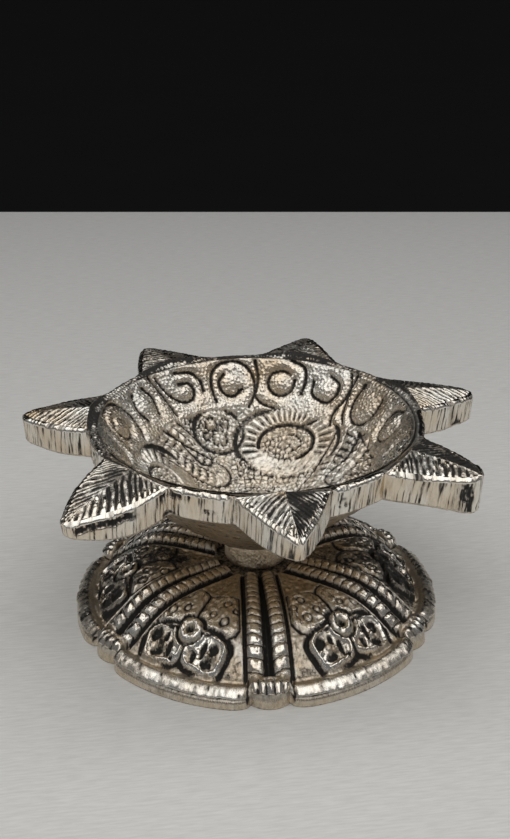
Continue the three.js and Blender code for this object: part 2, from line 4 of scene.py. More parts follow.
import bmesh
import bpy
import numpy as np
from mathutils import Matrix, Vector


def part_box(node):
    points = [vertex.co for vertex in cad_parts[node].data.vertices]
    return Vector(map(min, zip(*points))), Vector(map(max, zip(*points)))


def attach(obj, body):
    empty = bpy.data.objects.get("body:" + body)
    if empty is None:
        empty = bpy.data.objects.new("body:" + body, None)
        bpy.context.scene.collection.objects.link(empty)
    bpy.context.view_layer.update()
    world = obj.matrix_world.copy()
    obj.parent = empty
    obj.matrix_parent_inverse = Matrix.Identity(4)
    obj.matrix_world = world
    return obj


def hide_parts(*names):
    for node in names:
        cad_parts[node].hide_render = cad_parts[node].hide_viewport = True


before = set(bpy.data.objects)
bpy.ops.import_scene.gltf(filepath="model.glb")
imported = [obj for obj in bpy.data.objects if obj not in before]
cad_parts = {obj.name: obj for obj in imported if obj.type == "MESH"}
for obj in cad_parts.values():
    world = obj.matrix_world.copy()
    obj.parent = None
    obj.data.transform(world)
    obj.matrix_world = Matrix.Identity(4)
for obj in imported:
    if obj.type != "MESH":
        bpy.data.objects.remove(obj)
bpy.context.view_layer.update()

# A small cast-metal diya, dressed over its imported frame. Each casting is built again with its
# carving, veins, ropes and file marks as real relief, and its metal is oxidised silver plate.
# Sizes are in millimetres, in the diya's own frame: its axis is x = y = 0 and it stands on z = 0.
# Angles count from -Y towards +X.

# Star bowl
petal_count = 7
mouth_radius = 23.4
rim_width = 1.6
petal_length = 11
petal_base_width = 13
petal_bow = 0.25
petal_droop = 1.4
ridge_rise = 0.9
edge_bevel = 0.7
bevel_depth = 0.6                # height of the rounded, polished edge
veins_on_rim = 7
veins_on_ridge = 9
vein_height = 0.42
rim_share = 0.36
straight_share = 0.8
edge_height = 4.4
edge_draft = 0.25
underside_step = 0.7
bowl_height = 18.7
bowl_floor_thickness = 4
bowl_seat_radius = 7
bowl_curve_outside = 1.15
bowl_curve_inside = 2.2

# Turn in degrees, reach, rise, rounding, undercut and bulge of each hand-filed petal
petal_finish = [
    (0.5, -0.8, 0.4, 0.9, 1.5, 0),
    (0.4, -0.4, 0.9, 3.2, -1.2, 0.1),
    (-1.3, 0.2, 0.1, 2.7, 0.6, 0.1),
    (2.8, 0.1, 0.3, 1.5, 1.4, 0),
    (-2, -0.1, 0.2, 1.5, 1.4, 0),
    (-0.4, -0.5, 0.4, 2.5, 0.7, 0.3),
    (0.8, 1.4, -1, 1.8, 2.3, 0.8),
]

# Painted shade on the two flanks of each petal: how much darker each one is painted for the way the light
# falls on it, the clockwise one first
flank_painted_shade = [(0.3, 0.85), (0.45, 1.0), (0.25, 0.75), (0.5, 0.6), (0.3, 0.7), (0.25, 0.35), (0.55, 0.45)]

# Petals with a mark of their own: a warm tip, a slit along the wall and a wall without pits
warm_tip_petal = 5
slit_petal = 6
unpitted_petal = 0

# The star's edge and its file marks
arc_bevel_width = 0.45
stroke_depth = 0.12
gouge_depth = 0.14
low_rounding = 0.35              # of the wall's lower edge
pit_depth = 0.25
slit_depth = 0.55
nick_depth = 0.12

# Spacer collar
collar_height = 5.1
collar_radius = 5.1
collar_rounding = 0.9

# Domed foot
rib_count = 6
foot_height = 8.2
foot_turn = -4.1
lobe_radius = 28.4
nub_setback = 0.3
nub_height = 3.8
nub_rounding = 1.2
notch_depth = 1.2
lobe_corner = 3.2                # length of the rounded corner beside a nub
flute_pitch = 1.25
flute_depth = 0.2
dome_shoulder = 5
dome_slope = 1.9
seat_margin = 0.4
foot_web = 2.6
foot_wall = 2.2
base_width = 3
band_width = 2.3
band_rise = 1.2
channel_width = 1.1
channel_depth = 0.3
edge_top = 1.7
lip_depth = 0.25
edge_lean = 0.3
strand_width = 2.1
strand_width_at_rim = 2.35
strand_rise = 1
strand_gap = 0.4
strand_gap_at_rim = 1.5
groove_depth = 0.4
slot_depth = 1
rope_pitch = 1.05
rope_pitch_at_rim = 1.6
rope_waist = 0.35
rope_start = 1.1

# Fixing
screw_radius = 2
screw_clearance = 0.3
screw_engagement = 2.4
screw_head_radius = 3.8
screw_head_height = 2.2
screw_head_rounding = 0.8
screw_slot_width = 1
screw_slot_depth = 1
washer_radius = 4.6
washer_thickness = 0.8

# Carving
field_repeats = 3                # times that the medallions and leaves repeat round the bowl
field_edge = 20                  # arc length from the middle of the bowl to the field's edge
middle_ring = 5.2                # and to the ring round the middle medallion
deepest_carving = 0.6
groove_half_width = 0.4
border_groove_depth = 0.55
border_grain = 0.17
field_grain = 0.3
skin_depth = 0.1                 # how far the bowl's carved skin lies below the plain one
collar_grain = 0.15
collar_inset = 0.17
bump_height = 0.00012            # of the finest grain, in metres

# Fineness of the sheets, and half the gap between their charts
bowl_rows = 150
bowl_columns = 1000
outside_rows = 60
outside_columns = 700
rim_columns = 220                # for each petal
dome_rows = 124
foot_columns = 200               # for each rib
chart_margin = 0.002

# Sizes that follow
notch_radius = mouth_radius + rim_width
bowl_seat_height = foot_height + collar_height
rim_height = bowl_seat_height + bowl_height
bowl_floor_height = bowl_seat_height + bowl_floor_thickness
underside_height = rim_height - edge_height
bowl_top_radius = notch_radius - edge_draft - underside_step
hole_radius = screw_radius + screw_clearance
screw_seat = foot_height - foot_web
foot_seat_radius = collar_radius + seat_margin
rib_start = collar_radius + rope_start
band_inner = lobe_radius - band_width
dome_end = band_inner - channel_width
dome_edge_height = edge_top + band_rise / 2
nub_half = strand_gap_at_rim / 2 + strand_width_at_rim
sector = 2 * math.pi / petal_count
base_half_angle = math.asin(petal_base_width / 2 / notch_radius)
rib_angle = 2 * math.pi / rib_count
full_turn = 2 * math.pi
skin_inset = 0.03                # keeps the dressed metal inside the frame's box

# The axis of the diya in the frame is the axis of its collar
collar_low, collar_high = (np.array(corner) * 1000 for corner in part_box("stem_collar"))
axis_offset = np.array([(collar_low[0] + collar_high[0]) / 2, (collar_low[1] + collar_high[1]) / 2, 0])


def mix(a, b, t):
    return a + (b - a) * t


def clamp01(t):
    return np.clip(t, 0, 1)


def smooth(t):
    t = clamp01(t)
    return t * t * (3 - 2 * t)


def join(*fields):
    """Two or three fields as the coordinates of points"""
    return np.stack(np.broadcast_arrays(*fields), axis=-1)


def rise(value, start, width):
    """0 up to start and 1 from start + width on"""
    return smooth((value - start) / width)


def fall(value, end, width):
    """1 up to end - width and 0 from end on"""
    return smooth((end - value) / width)


def polar(radius, angle, z):
    return join(radius * np.sin(angle), -radius * np.cos(angle), z)


def stripe(distance, half_width):
    """1 on a line and 0 from half its width away"""
    return smooth(1 - np.abs(distance) / half_width)


def from_nearest(angle, step):
    """Angle from the nearest multiple of step"""
    return (angle + step / 2) % step - step / 2


def run_length(x, y):
    """Length along a line up to each of its points"""
    return np.concatenate([[0], np.cumsum(np.hypot(np.diff(x), np.diff(y)))])


def scrambled(cells, seed):
    """A whole number for each cell of a grid, always the same for the same seed"""
    primes = np.array([73856093, 19349663, 83492791])[:cells.shape[-1]]
    key = (cells * primes).sum(axis=-1) + seed * 7919
    key = (key ^ (key >> 13)) * 1274126177 % 2147483648
    return key ^ (key >> 15)


def noise(points, cell, seed):
    """Smooth noise from -1 to 1 in two or three dimensions, with bumps one cell apart"""
    points = np.asarray(points, float) / cell
    low = np.floor(points).astype(np.int64)
    part = smooth(points - low)
    total = np.zeros(points.shape[:-1])
    for step in itertools.product((0, 1), repeat=points.shape[-1]):
        weight = np.where(np.array(step) == 1, part, 1 - part).prod(axis=-1)
        total += weight * (scrambled(low + np.array(step), seed) % 65536 / 32768 - 1)
    return total


def pebbles(points, cell, seed):
    """Rounded grains about one cell apart in two dimensions: 1 on a grain and 0 in the gaps"""
    points = np.asarray(points, float) / cell
    low = np.floor(points).astype(np.int64)
    nearest = np.full(points.shape[:-1], 9.0)
    second = nearest.copy()
    for step in itertools.product((-1, 0, 1), repeat=2):
        square = low + np.array(step)
        key = scrambled(square, seed)
        centre = square + join(key % 1024, key // 1024 % 1024) / 1024
        away = np.hypot(*np.moveaxis(points - centre, -1, 0))
        second = np.minimum(second, np.maximum(away, nearest))
        nearest = np.minimum(nearest, away)
    return smooth((second - nearest) * 2.4)


def lumps(points, cell, seed, layers=2):
    """Noise with finer noise on top"""
    return sum(noise(points, cell / 2 ** k, seed + k) / 2 ** k for k in range(layers)) / 1.5


def blurred(field, rows, columns):
    """Average over a window of that many rows and columns each way; the columns run round"""
    for axis, reach in ((0, rows), (1, columns)):
        count = field.shape[axis]
        reach = min(reach, count - 2)
        edges = [(0, 0), (0, 0)]
        edges[axis] = (reach + 1, reach)
        total = np.cumsum(np.pad(field, edges, mode="edge" if axis == 0 else "wrap"), axis=axis)
        upper = np.take(total, np.arange(2 * reach + 1, 2 * reach + 1 + count), axis=axis)
        lower = np.take(total, np.arange(count), axis=axis)
        field = (upper - lower) / (2 * reach + 1)
    return field


def curve(knots, steps=8):
    """Points of a smooth line through the knots, with so many steps from each to the next"""
    knots = np.asarray(knots, float)
    ends = np.concatenate([2 * knots[:1] - knots[1:2], knots, 2 * knots[-1:] - knots[-2:-1]])
    t = (np.arange(steps) / steps).reshape(-1, *[1] * (knots.ndim - 1))
    spans = []
    for k in range(len(knots) - 1):
        a, b, c, d = ends[k:k + 4]
        spans.append(b + 0.5 * t * (c - a + t * (2 * a - 5 * b + 4 * c - d + t * (3 * (b - c) + d - a))))
    return np.concatenate(spans + [knots[-1:]])


class Carving:
    """A relief over flat coordinates x and y, raised and cut by strokes"""

    def __init__(self, x, y, ground):
        self.x = x
        self.y = y
        self.height = np.broadcast_to(ground, x.shape).astype(float).copy()
        self.carved = np.zeros(x.shape)
        self.smoothed = np.zeros(x.shape)

    def distance(self, line, reach):
        """Distance to a line where that is less than reach, and reach elsewhere"""
        line = np.asarray(line, float)
        low = line.min(axis=0) - reach
        high = line.max(axis=0) + reach
        near = (self.x > low[0]) & (self.x < high[0]) & (self.y > low[1]) & (self.y < high[1])
        px = self.x[near]
        py = self.y[near]
        best = np.full(px.shape, float(reach))
        for a, b in zip(line[:-1], line[1:]):
            along = b - a
            share = ((px - a[0]) * along[0] + (py - a[1]) * along[1]) / max(along @ along, 1e-9)
            share = clamp01(share)
            best = np.minimum(best, np.hypot(px - a[0] - share * along[0], py - a[1] - share * along[1]))
        whole = np.full(self.x.shape, float(reach))
        whole[near] = best
        return whole

    def oval(self, centre, half_x, half_y, tilt=0.0, power=2.0):
        """0 at the centre of a rounded shape and 1 on its outline; tilt in degrees"""
        dx = self.x - centre[0]
        dy = self.y - centre[1]
        cosine = math.cos(math.radians(tilt))
        sine = math.sin(math.radians(tilt))
        along = np.abs(dx * cosine + dy * sine) / half_x
        across = np.abs(dy * cosine - dx * sine) / half_y
        return (along ** power + across ** power) ** (1 / power)

    def swell(self, distance, half_width, top, foot=0.0):
        """Raises a rounded ridge or bead that springs from foot"""
        round_top = mix(foot, top, np.sqrt(clamp01(1 - (distance / half_width) ** 2)))
        self.height = np.where(distance < half_width, np.maximum(self.height, round_top), self.height)

    def bead(self, centre, radius, top, foot=0.0, stretch=1.0, tilt=0.0):
        self.swell(self.oval(centre, radius, radius * stretch, tilt), 1, top, foot)

    def cut(self, distance, half_width, depth):
        """Grooves don't add up where they cross"""
        self.carved = np.maximum(self.carved, depth * smooth(1 - distance / half_width))

    def groove(self, line, half_width, depth):
        self.cut(self.distance(line, half_width + 0.1), half_width, depth)

    def relief(self):
        return self.height - self.carved


class Sheet:
    """Rows and columns of points, with how dark, how polished and how brassy the metal is"""

    def __init__(self, points, patina=0.0, shine=0.0, warm=0.0, grain=None):
        layers = [np.broadcast_to(layer, points.shape[:2]) for layer in (patina, shine, warm)]
        self.points = points
        self.finish = clamp01(np.stack(layers + [np.ones(points.shape[:2])], axis=-1))
        self.grain = points if grain is None else np.broadcast_to(grain, points.shape)

    def mirrored(self):
        self.points = self.points[:, ::-1]
        self.finish = self.finish[:, ::-1]
        self.grain = self.grain[:, ::-1]
        return self


class Casting:
    """Collects sheets and makes one piece of them, with a chart of its own for each sheet"""

    def __init__(self, name):
        self.name = name
        self.strips = []

    def add(self, share, *sheets):
        self.strips.append((share, sheets))

    def charts(self):
        """Each sheet with its rectangle on the chart"""
        total = sum(share for share, _ in self.strips)
        margin = chart_margin
        low = 0
        for share, sheets in self.strips:
            high = low + share / total
            for k, sheet in enumerate(sheets):
                left = k / len(sheets)
                right = (k + 1) / len(sheets)
                yield sheet, (left + margin, right - margin, low + margin, high - margin)
            low = high

    def mesh(self, turn):
        points, faces, uvs, finish, grain = [], [], [], [], []
        start = 0
        for sheet, (left, right, low, high) in self.charts():
            rows, columns = sheet.points.shape[:2]
            points.append(sheet.points.reshape(-1, 3))
            finish.append(sheet.finish.reshape(-1, 4))
            grain.append(sheet.grain.reshape(-1, 3))
            i, j = np.meshgrid(np.arange(rows - 1), np.arange(columns - 1), indexing="ij")
            corner = (start + i * columns + j).ravel()
            faces.append(np.stack([corner, corner + columns, corner + columns + 1, corner + 1], axis=-1))
            u = mix(left, right, np.arange(columns) / (columns - 1))
            v = mix(low, high, np.arange(rows) / (rows - 1))
            corners = [join(u[j + b], v[i + a]).reshape(-1, 2) for a, b in ((0, 0), (1, 0), (1, 1), (0, 1))]
            uvs.append(np.stack(corners, axis=1))
            start += rows * columns
        cosine = math.cos(math.radians(turn))
        sine = math.sin(math.radians(turn))
        spin = np.array([[cosine, -sine, 0], [sine, cosine, 0], [0, 0, 1]])
        placed = (np.vstack(points) @ spin.T + axis_offset) * 0.001
        mesh = bpy.data.meshes.new(self.name)
        mesh.from_pydata(placed.tolist(), [], np.vstack(faces).tolist())
        chart = mesh.uv_layers.new(name="OFBake")
        chart.data.foreach_set("uv", np.vstack(uvs).astype(np.float32).ravel())
        layer = mesh.attributes.new("antique", "FLOAT_COLOR", "POINT")
        layer.data.foreach_set("color", np.vstack(finish).astype(np.float32).ravel())
        layer = mesh.attributes.new("grain", "FLOAT_VECTOR", "POINT")
        layer.data.foreach_set("vector", np.vstack(grain).astype(np.float32).ravel())
        return mesh

    def make(self, node, material, turn=0.0):
        mesh = self.mesh(turn)
        work = bmesh.new()
        work.from_mesh(mesh)
        bmesh.ops.remove_doubles(work, verts=work.verts, dist=2e-6)
        work.to_mesh(mesh)
        work.free()
        mesh.shade_smooth()
        mesh.materials.append(material)
        piece = bpy.data.objects.new(self.name, mesh)
        bpy.context.scene.collection.objects.link(piece)
        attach(piece, "root")
        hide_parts(node)
        return piece


class Petal:
    """Plan of one petal as complex numbers, real along its middle line"""

    def __init__(self, number):
        turn, reach, rise, rounding, undercut, bulge = petal_finish[number]
        direction = np.exp(1j * math.radians(turn))
        self.number = number
        self.middle = number * sector
        self.tip_radius = notch_radius + petal_length + reach - skin_inset
        self.apex = direction * self.tip_radius
        self.tip_centre = direction * (self.tip_radius - rounding)
        self.rounding = rounding
        self.undercut = undercut
        self.bow = petal_bow + bulge
        self.drop = petal_droop - rise

    def edge(self, t, side):
        """Point of the outline, from 0 at the rim to 1 at the apex; side is -1 or 1"""
        notch = notch_radius * np.exp(1j * side * base_half_angle)
        to_centre = self.tip_centre - notch
        distance = abs(to_centre)
        straight = to_centre / distance * np.exp(1j * side * math.asin(self.rounding / distance))
        straight = straight * math.sqrt(distance ** 2 - self.rounding ** 2)
        share = np.minimum(t / straight_share, 1)
        bow = 1j * straight / abs(straight) * side * self.bow * np.sin(np.pi * share)
        tangent = notch + straight - self.tip_centre
        to_apex = np.angle((self.apex - self.tip_centre) / tangent)
        sweep = to_apex * clamp01((t - straight_share) / (1 - straight_share))
        on_flank = notch + straight * share + bow
        return np.where(t < straight_share, on_flank, self.tip_centre + tangent * np.exp(1j * sweep))

    def reach_share(self, point):
        return clamp01((np.abs(point) - notch_radius) / (self.tip_radius - notch_radius))

    def droop(self, point):
        return self.drop * self.reach_share(point)

    def place(self, point, z):
        return polar(np.abs(point), self.middle + np.angle(point), z)


row_steps = 5
rows_on_rim = 2 * veins_on_rim
rows_on_ridge = 2 * veins_on_ridge
flank_rows = 22


class Flank:
    """One roofed half of a petal: lines from the rim and the midrib out to the edge"""

    def __init__(self, petal, side):
        row = np.linspace(0, rows_on_rim + rows_on_ridge, (rows_on_rim + rows_on_ridge) * row_steps + 1)
        on_rim = row <= rows_on_rim
        rim_part = row / rows_on_rim
        ridge_part = clamp01((row - rows_on_rim) / rows_on_ridge)
        self.petal = petal
        self.side = side
        self.row = row
        self.edge_t = np.where(on_rim, rim_share * rim_part, mix(rim_share, 1, ridge_part))
        along_rim = notch_radius * np.exp(1j * side * base_half_angle * (1 - rim_part))
        self.start = np.where(on_rim, along_rim, mix(notch_radius, petal.apex, ridge_part))
        self.lift = np.where(on_rim, ridge_rise * rim_part, ridge_rise * (1 - ridge_part ** 3))
        self.edge = petal.edge(self.edge_t, side)
        self.length = np.abs(self.edge - self.start)
        self.bevel_start = 1 - np.minimum(0.45, edge_bevel / np.maximum(self.length, edge_bevel))

    def bevel_line(self):
        """Plan points and heights where the bevel begins"""
        point = mix(self.start, self.edge, self.bevel_start)
        return point, rim_height - self.petal.droop(point) + self.lift * (1 - self.bevel_start)

    def sheet(self):
        petal = self.petal
        t = np.linspace(0, 1, flank_rows)[:, None] * self.bevel_start
        point = mix(self.start, self.edge, t)
        flat = petal.place(point, 0)
        away = t * self.length
        to_bevel = (self.bevel_start - t) * self.length
        place = join(self.row + 90 * petal.number + 40 * self.side, away)
        wander = noise(place, 2.3, 5) + 0.6 * noise(place, 0.9, 6)
        row = self.row + 0.45 * wander * smooth(away / 2)
        crest = 1 - np.abs(row % 2 - 1)
        profile = smooth(crest * 2.1 - 0.35)
        fade = smooth(away / 0.5) * smooth(to_bevel / 0.45)
        broken = smooth(0.5 + 1.6 * noise(flat[..., :2], 1.3, 44 + petal.number))
        strength = 0.55 + 0.55 * broken
        # tone is painted shade: it darkens this flank's patina, here and through worn below, where the light
        # leaves the flank dark
        tone = flank_painted_shade[petal.number][0 if self.side < 0 else 1]
        veins = vein_height * (profile - 0.62) * fade * strength
        rough = 0.1 * lumps(flat, 0.6, 11, 3) * smooth(to_bevel / 0.3) - 0.06
        z = rim_height - petal.droop(point) + self.lift * (1 - t) + veins + rough * smooth(away / 0.3)
        worn = lumps(flat, 2.4, 60 + petal.number) + tone - 0.45
        patina = (1 - profile) * (0.6 + 0.5 * tone) * fade + clamp01(worn) * smooth(to_bevel / 0.5)
        patina += 1.8 * clamp01(tone - 0.55) * smooth(to_bevel / 0.5) * (1 - 0.4 * profile)
        dull = 1 - 1.5 * clamp01(tone - 0.5)
        shine = profile * fade * clamp01(0.9 - worn) * broken * dull + smooth(1 - to_bevel / 0.5)
        warm = 0.25 + 0.5 * lumps(flat, 5, 21)
        if petal.number == warm_tip_petal:
            warm = warm + 1.2 * smooth(1 - np.abs(point - petal.apex) / 4.5)
        sheet = Sheet(petal.place(point, z), patina, shine, warm)
        return sheet if self.side < 0 else sheet.mirrored()


def arc_bevel(angle):
    """Width of the rounded edge between two petals; it dies out at the notches"""
    from_middle = np.abs(from_nearest(angle, sector))
    return arc_bevel_width * rise(from_middle, base_half_angle, 0.05)


def rim_band():
    """Top of the rim from the mouth out to the petals, with the dark strip inside it"""
    angle = np.linspace(0, full_turn, petal_count * rim_columns + 1)
    across = np.linspace(0, 1, 18)[:, None]
    outer = notch_radius - arc_bevel(angle)
    radius = mix(mouth_radius, outer, across)
    from_middle = np.abs(from_nearest(angle, sector))
    on_petal = fall(from_middle, base_half_angle + 0.02, 0.04)
    lift = ridge_rise * clamp01(1 - from_middle / base_half_angle) * across
    flat = polar(radius, angle, 0)
    front = rise(np.cos(angle - 0.35), -0.1, 0.4)
    width = mix(0.14, 0.3, front) + 0.05 * noise(join(angle * 25, 0), 1.5, 33)
    strip = stripe(across - 0.1, width)
    dent = mix(0.12, 0.5, front) * strip
    crown = 0.1 * np.sin(np.pi * clamp01((across - 0.3) / 0.7)) * (1 - 0.6 * on_petal)
    grains = pebbles(join(angle * 25, radius), 0.7, 35)
    rough = (0.12 * lumps(flat, 0.7, 31, 3) + 0.16 * (grains - 0.8) * (1 - front)) * np.sin(np.pi * across)
    z = rim_height + lift - dent + crown + rough - 0.05 * np.sin(np.pi * across)
    worn = lumps(flat, 2.2, 37)
    patina = 1.3 * strip * mix(0.35, 1, front) + 0.75 * on_petal * smooth((across - 0.4) * 3)
    # Painted shade: the rim's far side, where front falls to 0, is painted darker, partly as specks in the
    # gaps between its grains
    patina += clamp01(0.35 + worn) * (1 - front) + 0.6 * (1 - grains) * (1 - front)
    shine = rise(across, 0.45, 0.3) * (1 - 0.8 * on_petal) * mix(0.3, 1, front)
    warm = 0.3 + 0.6 * noise(flat, 6, 17)
    return Sheet(polar(radius, angle, z), patina, shine, warm)


class Outline:
    """The star's edge all round, column by column"""

    def __init__(self, petals, flanks):
        self.parts = {name: [] for name in ("inner", "top", "edge", "low", "root", "petal", "side", "tip")}
        for petal, (left, right) in zip(petals, flanks):
            self.add_flank(left, slice(None))
            self.add_flank(right, slice(None, None, -1))
            self.add_arc(petal)
        for name, parts in self.parts.items():
            whole = np.concatenate(parts)
            last = whole[:1] + full_turn if name == "root" else whole[:1]
            setattr(self, name, np.concatenate([whole, last]))
        self.along = run_length(self.edge.real, self.edge.imag)
        tangent = np.gradient(self.edge)
        self.outward = -1j * tangent / np.maximum(np.abs(tangent), 1e-9)

    def add(self, **values):
        for name, value in values.items():
            self.parts[name].append(value)

    def add_flank(self, flank, order):
        petal = flank.petal
        turn = np.exp(1j * petal.middle)
        inner, top = flank.bevel_line()
        reach = petal.reach_share(flank.edge)
        low = underside_height - petal.droop(flank.edge) + petal.undercut * clamp01((reach - 0.3) / 0.7) ** 2
        root = petal.middle + flank.side * base_half_angle * (1 - flank.edge_t)
        self.add(inner=(inner * turn)[order], top=top[order], edge=(flank.edge * turn)[order],
                 low=low[order], root=root[order], petal=np.full(low.shape, petal.number),
                 side=np.full(low.shape, flank.side), tip=reach[order])

    def add_arc(self, petal):
        angle = np.linspace(petal.middle + base_half_angle, petal.middle + sector - base_half_angle, 82)[1:-1]
        turn = np.exp(1j * angle)
        self.add(inner=(notch_radius - arc_bevel(angle)) * turn, top=np.full(angle.shape, rim_height),
                 edge=notch_radius * turn, low=np.full(angle.shape, underside_height), root=angle,
                 petal=np.full(angle.shape, -1), side=0 * angle, tip=0 * angle)


def plan_point(plan, z):
    return polar(np.abs(plan), np.angle(plan), z)


def stacked(bands, *values):
    """A value or field for each band of rows, as one field"""
    return np.vstack([np.broadcast_to(value, band.shape) for value, band in zip(values, bands)])


def star_wall(outline):
    """Rounded edge, filed wall and underside of the star, in to the bowl"""
    bevel = np.linspace(0, 1, 8)[:, None] * np.pi / 2
    down = np.linspace(0, 1, 20)[:, None][1:]
    drop = np.minimum(bevel_depth, 1.2 * np.abs(outline.edge - outline.inner))
    bevel_plan = mix(outline.inner, outline.edge, np.sin(bevel))
    along = outline.along
    chatter = noise(join(along, 0), 0.35, 77) + 0.7 * noise(join(along, 0), 1.1, 82)
    dented = nick_depth * clamp01(0.4 + 0.6 * chatter) * np.sin(2 * bevel)
    bevel_plan = bevel_plan - outline.outward * dented
    bevel_z = outline.top - drop * (1 - np.cos(bevel)) - dented
    radial = outline.edge / np.abs(outline.edge)
    shoulder = outline.top - drop
    wall_plan = outline.edge - radial * edge_draft * down
    wall_z = mix(shoulder, outline.low + low_rounding, down)
    wall_depth = down * (shoulder - outline.low)
    on_wall = join(along, wall_depth)

    slant = along + 0.08 * wall_depth + 0.05 * noise(on_wall, 1.4, 70)
    fine = noise(join(slant, wall_depth * 0.06), 0.2, 71)
    medium = noise(join(slant, wall_depth * 0.1), 0.45, 73)
    strokes = clamp01(0.3 + 0.5 * fine + 0.22 * medium)
    deep = rise(noise(join(slant, wall_depth * 0.04), 1.9, 72), 0.66, 0.12)
    patch = lumps(on_wall, 4, 75)
    spot = rise(noise(join(along, wall_depth * 1.3), 3.1, 74), 0.5, 0.15)
    pitted = outline.petal != unpitted_petal
    pits = spot * pitted * clamp01(0.5 + noise(on_wall, 0.45, 78))
    on_slot = (outline.petal == slit_petal) & (outline.side > 0)
    slot_line = np.abs(wall_depth - 0.95 - 0.25 * noise(join(along, 0), 1.2, 79)) / 0.6
    slot_ends = rise(outline.tip, 0.3, 0.2) * fall(outline.tip, 0.97, 0.05)
    slot = on_slot * slot_ends * smooth(1.35 - slot_line)
    slot = slot * clamp01(0.75 + 0.6 * noise(on_wall, 0.5, 80))
    cut = stroke_depth * strokes + gouge_depth * deep + pit_depth * pits + slit_depth * slot
    wall_plan = wall_plan - outline.outward * cut
    wall_patina = 0.68 * smooth(strokes * 2.6 - 0.75) + 0.35 * deep + 0.9 * pits + 1.4 * slot
    wall_patina = wall_patina + 0.15 * clamp01(patch)
    wall_shine = clamp01(1.25 - 2.2 * strokes)
    wall_warm = 0.5 + 0.4 * patch

    turn_in = np.linspace(0, 1, 6)[:, None][1:] * np.pi / 2
    low_plan = wall_plan[-1] - radial * low_rounding * (1 - np.cos(turn_in))
    low_z = outline.low + low_rounding * (1 - np.sin(turn_in))
    inward = np.linspace(0, 1, 12)[:, None][1:]
    root = bowl_top_radius * np.exp(1j * outline.root)
    under_plan = mix(low_plan[-1], root, inward)
    under_z = mix(low_z[-1], underside_height, inward)
    under_z = under_z + 0.12 * lumps(plan_point(under_plan, 0), 1.1, 81, 3) * np.sin(np.pi * inward)

    bands = (bevel_plan, wall_plan, low_plan, under_plan)
    plan = np.vstack(bands)
    z = np.vstack([bevel_z, wall_z, low_z, under_z])
    nicks = clamp01(noise(join(along, 0), 0.5, 76) - 0.2)
    rough = clamp01(chatter)
    patina = stacked(bands, 0.5 * nicks + 0.45 * rough, wall_patina, 0.35, 0.6)
    shine = stacked(bands, 0.9 - 0.6 * nicks - 0.5 * rough, wall_shine, 0.3, 0.0)
    warm = stacked(bands, 0.2, wall_warm, 0.5, 0.5)
    points = plan_point(plan, z)
    stretched = join(along * 1.6, z * 0.25, 0)
    filed = np.arange(len(plan)) < len(bevel_plan) + len(wall_plan)
    grain = np.where(filed[:, None, None], stretched, points)
    return Sheet(points, patina, shine, warm, grain)


def bowl_arc():
    """Radius, height and arc length along the bowl's inside"""
    radius = np.linspace(0, mouth_radius, 2000)
    z = mix(bowl_floor_height, rim_height, (radius / mouth_radius) ** bowl_curve_inside)
    return radius, z, run_length(radius, z)


# Scrolls of the bowl's border, seen from the middle of the bowl: each has a bead (middle and half
# sizes) and the lines of its grooves, counted from the scroll's middle to the right and up
drop_scroll = ((0, 0, 0.95, 1.5), [
    [(1.0, 2.2), (1.8, 0.4), (1.4, -1.8)], [(-1.2, 2.0), (-1.8, 0), (-1.2, -1.9)],
    [(2.6, 3.4), (3.5, 0.4), (4.2, -3.0)]])
hook_scroll = ((0, -0.3, 0.95, 0.85), [
    [(-3.4, 2.8), (-2.9, 1.0), (-2.0, -0.6), (-0.6, -1.6), (0.9, -1.4), (1.5, -0.2), (0.9, 0.9), (-0.4, 1.0)],
    [(-0.4, 2.7), (1.6, 2.3), (2.7, 1.0), (2.9, -0.6)]])
arch_scroll = ((0, 0.2, 1.15, 1.3), [
    [(-2.6, -2.4), (-2.8, 0), (-2.2, 2.0), (-0.6, 3.1), (1.2, 3.0), (2.6, 1.8), (3.3, 0), (3.2, -2.0),
     (2.4, -3.6)],
    [(-0.9, 1.3), (-1.7, 0.2), (-1.2, -1.4), (0.2, -1.9), (1.4, -1.0)]])
ring_scroll = ((0, 0, 1.1, 1.0), [
    [(1.2, 1.3), (0, 1.75), (-1.4, 1.1), (-1.75, -0.3), (-0.9, -1.6), (0.6, -1.75), (1.7, -0.8), (1.9, 0.6)],
    [(-3.6, 3.0), (-3.2, 1.0), (-3.4, -1.0), (-3.6, -2.0), (-2.4, -3.2), (-0.6, -3.7)],
    [(0.8, 3.5), (2.8, 2.6), (3.4, 0.8), (3.2, -1.2)]])
nine_scroll = ((-0.5, 0.1, 1.25, 1.2), [
    [(-0.2, 2.0), (1.2, 1.3), (1.5, -0.2), (0.6, -1.6), (-0.9, -1.6), (-2.2, -0.9), (-2.4, 0.8)],
    [(2.4, 3.2), (3.1, 1.4), (3.0, -0.6), (2.4, -2.4), (2.6, -4.2), (3.8, -5.2)]])
cup_scroll = ((0, 0, 1.7, 2.3), [
    [(-1.9, 2.4), (-2.3, 0.2), (-1.9, -1.9), (-0.3, -3.0), (1.5, -2.3), (2.2, -0.4), (2.1, 1.6)],
    [(-3.6, 3.6), (-3.7, 0.6), (-3.2, -2.2), (-1.8, -4.2)]])
small_scroll = ((0, 0, 0.8, 1.5), [
    [(0.3, 2.4), (-1.3, 1.7), (-1.7, -0.2), (-1.0, -2.1), (0.5, -2.5), (1.6, -1.2), (1.6, 0.8), (0.9, 1.7)]])
scroll_border = [small_scroll, cup_scroll, nine_scroll, ring_scroll, arch_scroll, hook_scroll, drop_scroll,
                 arch_scroll, cup_scroll, ring_scroll, drop_scroll, nine_scroll, hook_scroll, ring_scroll,
                 arch_scroll, drop_scroll]
scroll_first = 93                # angle of the first scroll, in degrees
scroll_radius = 21               # radius at which the border keeps its true width
scroll_level = 24.7              # arc length from the middle of the bowl to the scrolls
scroll_scale = 1.18


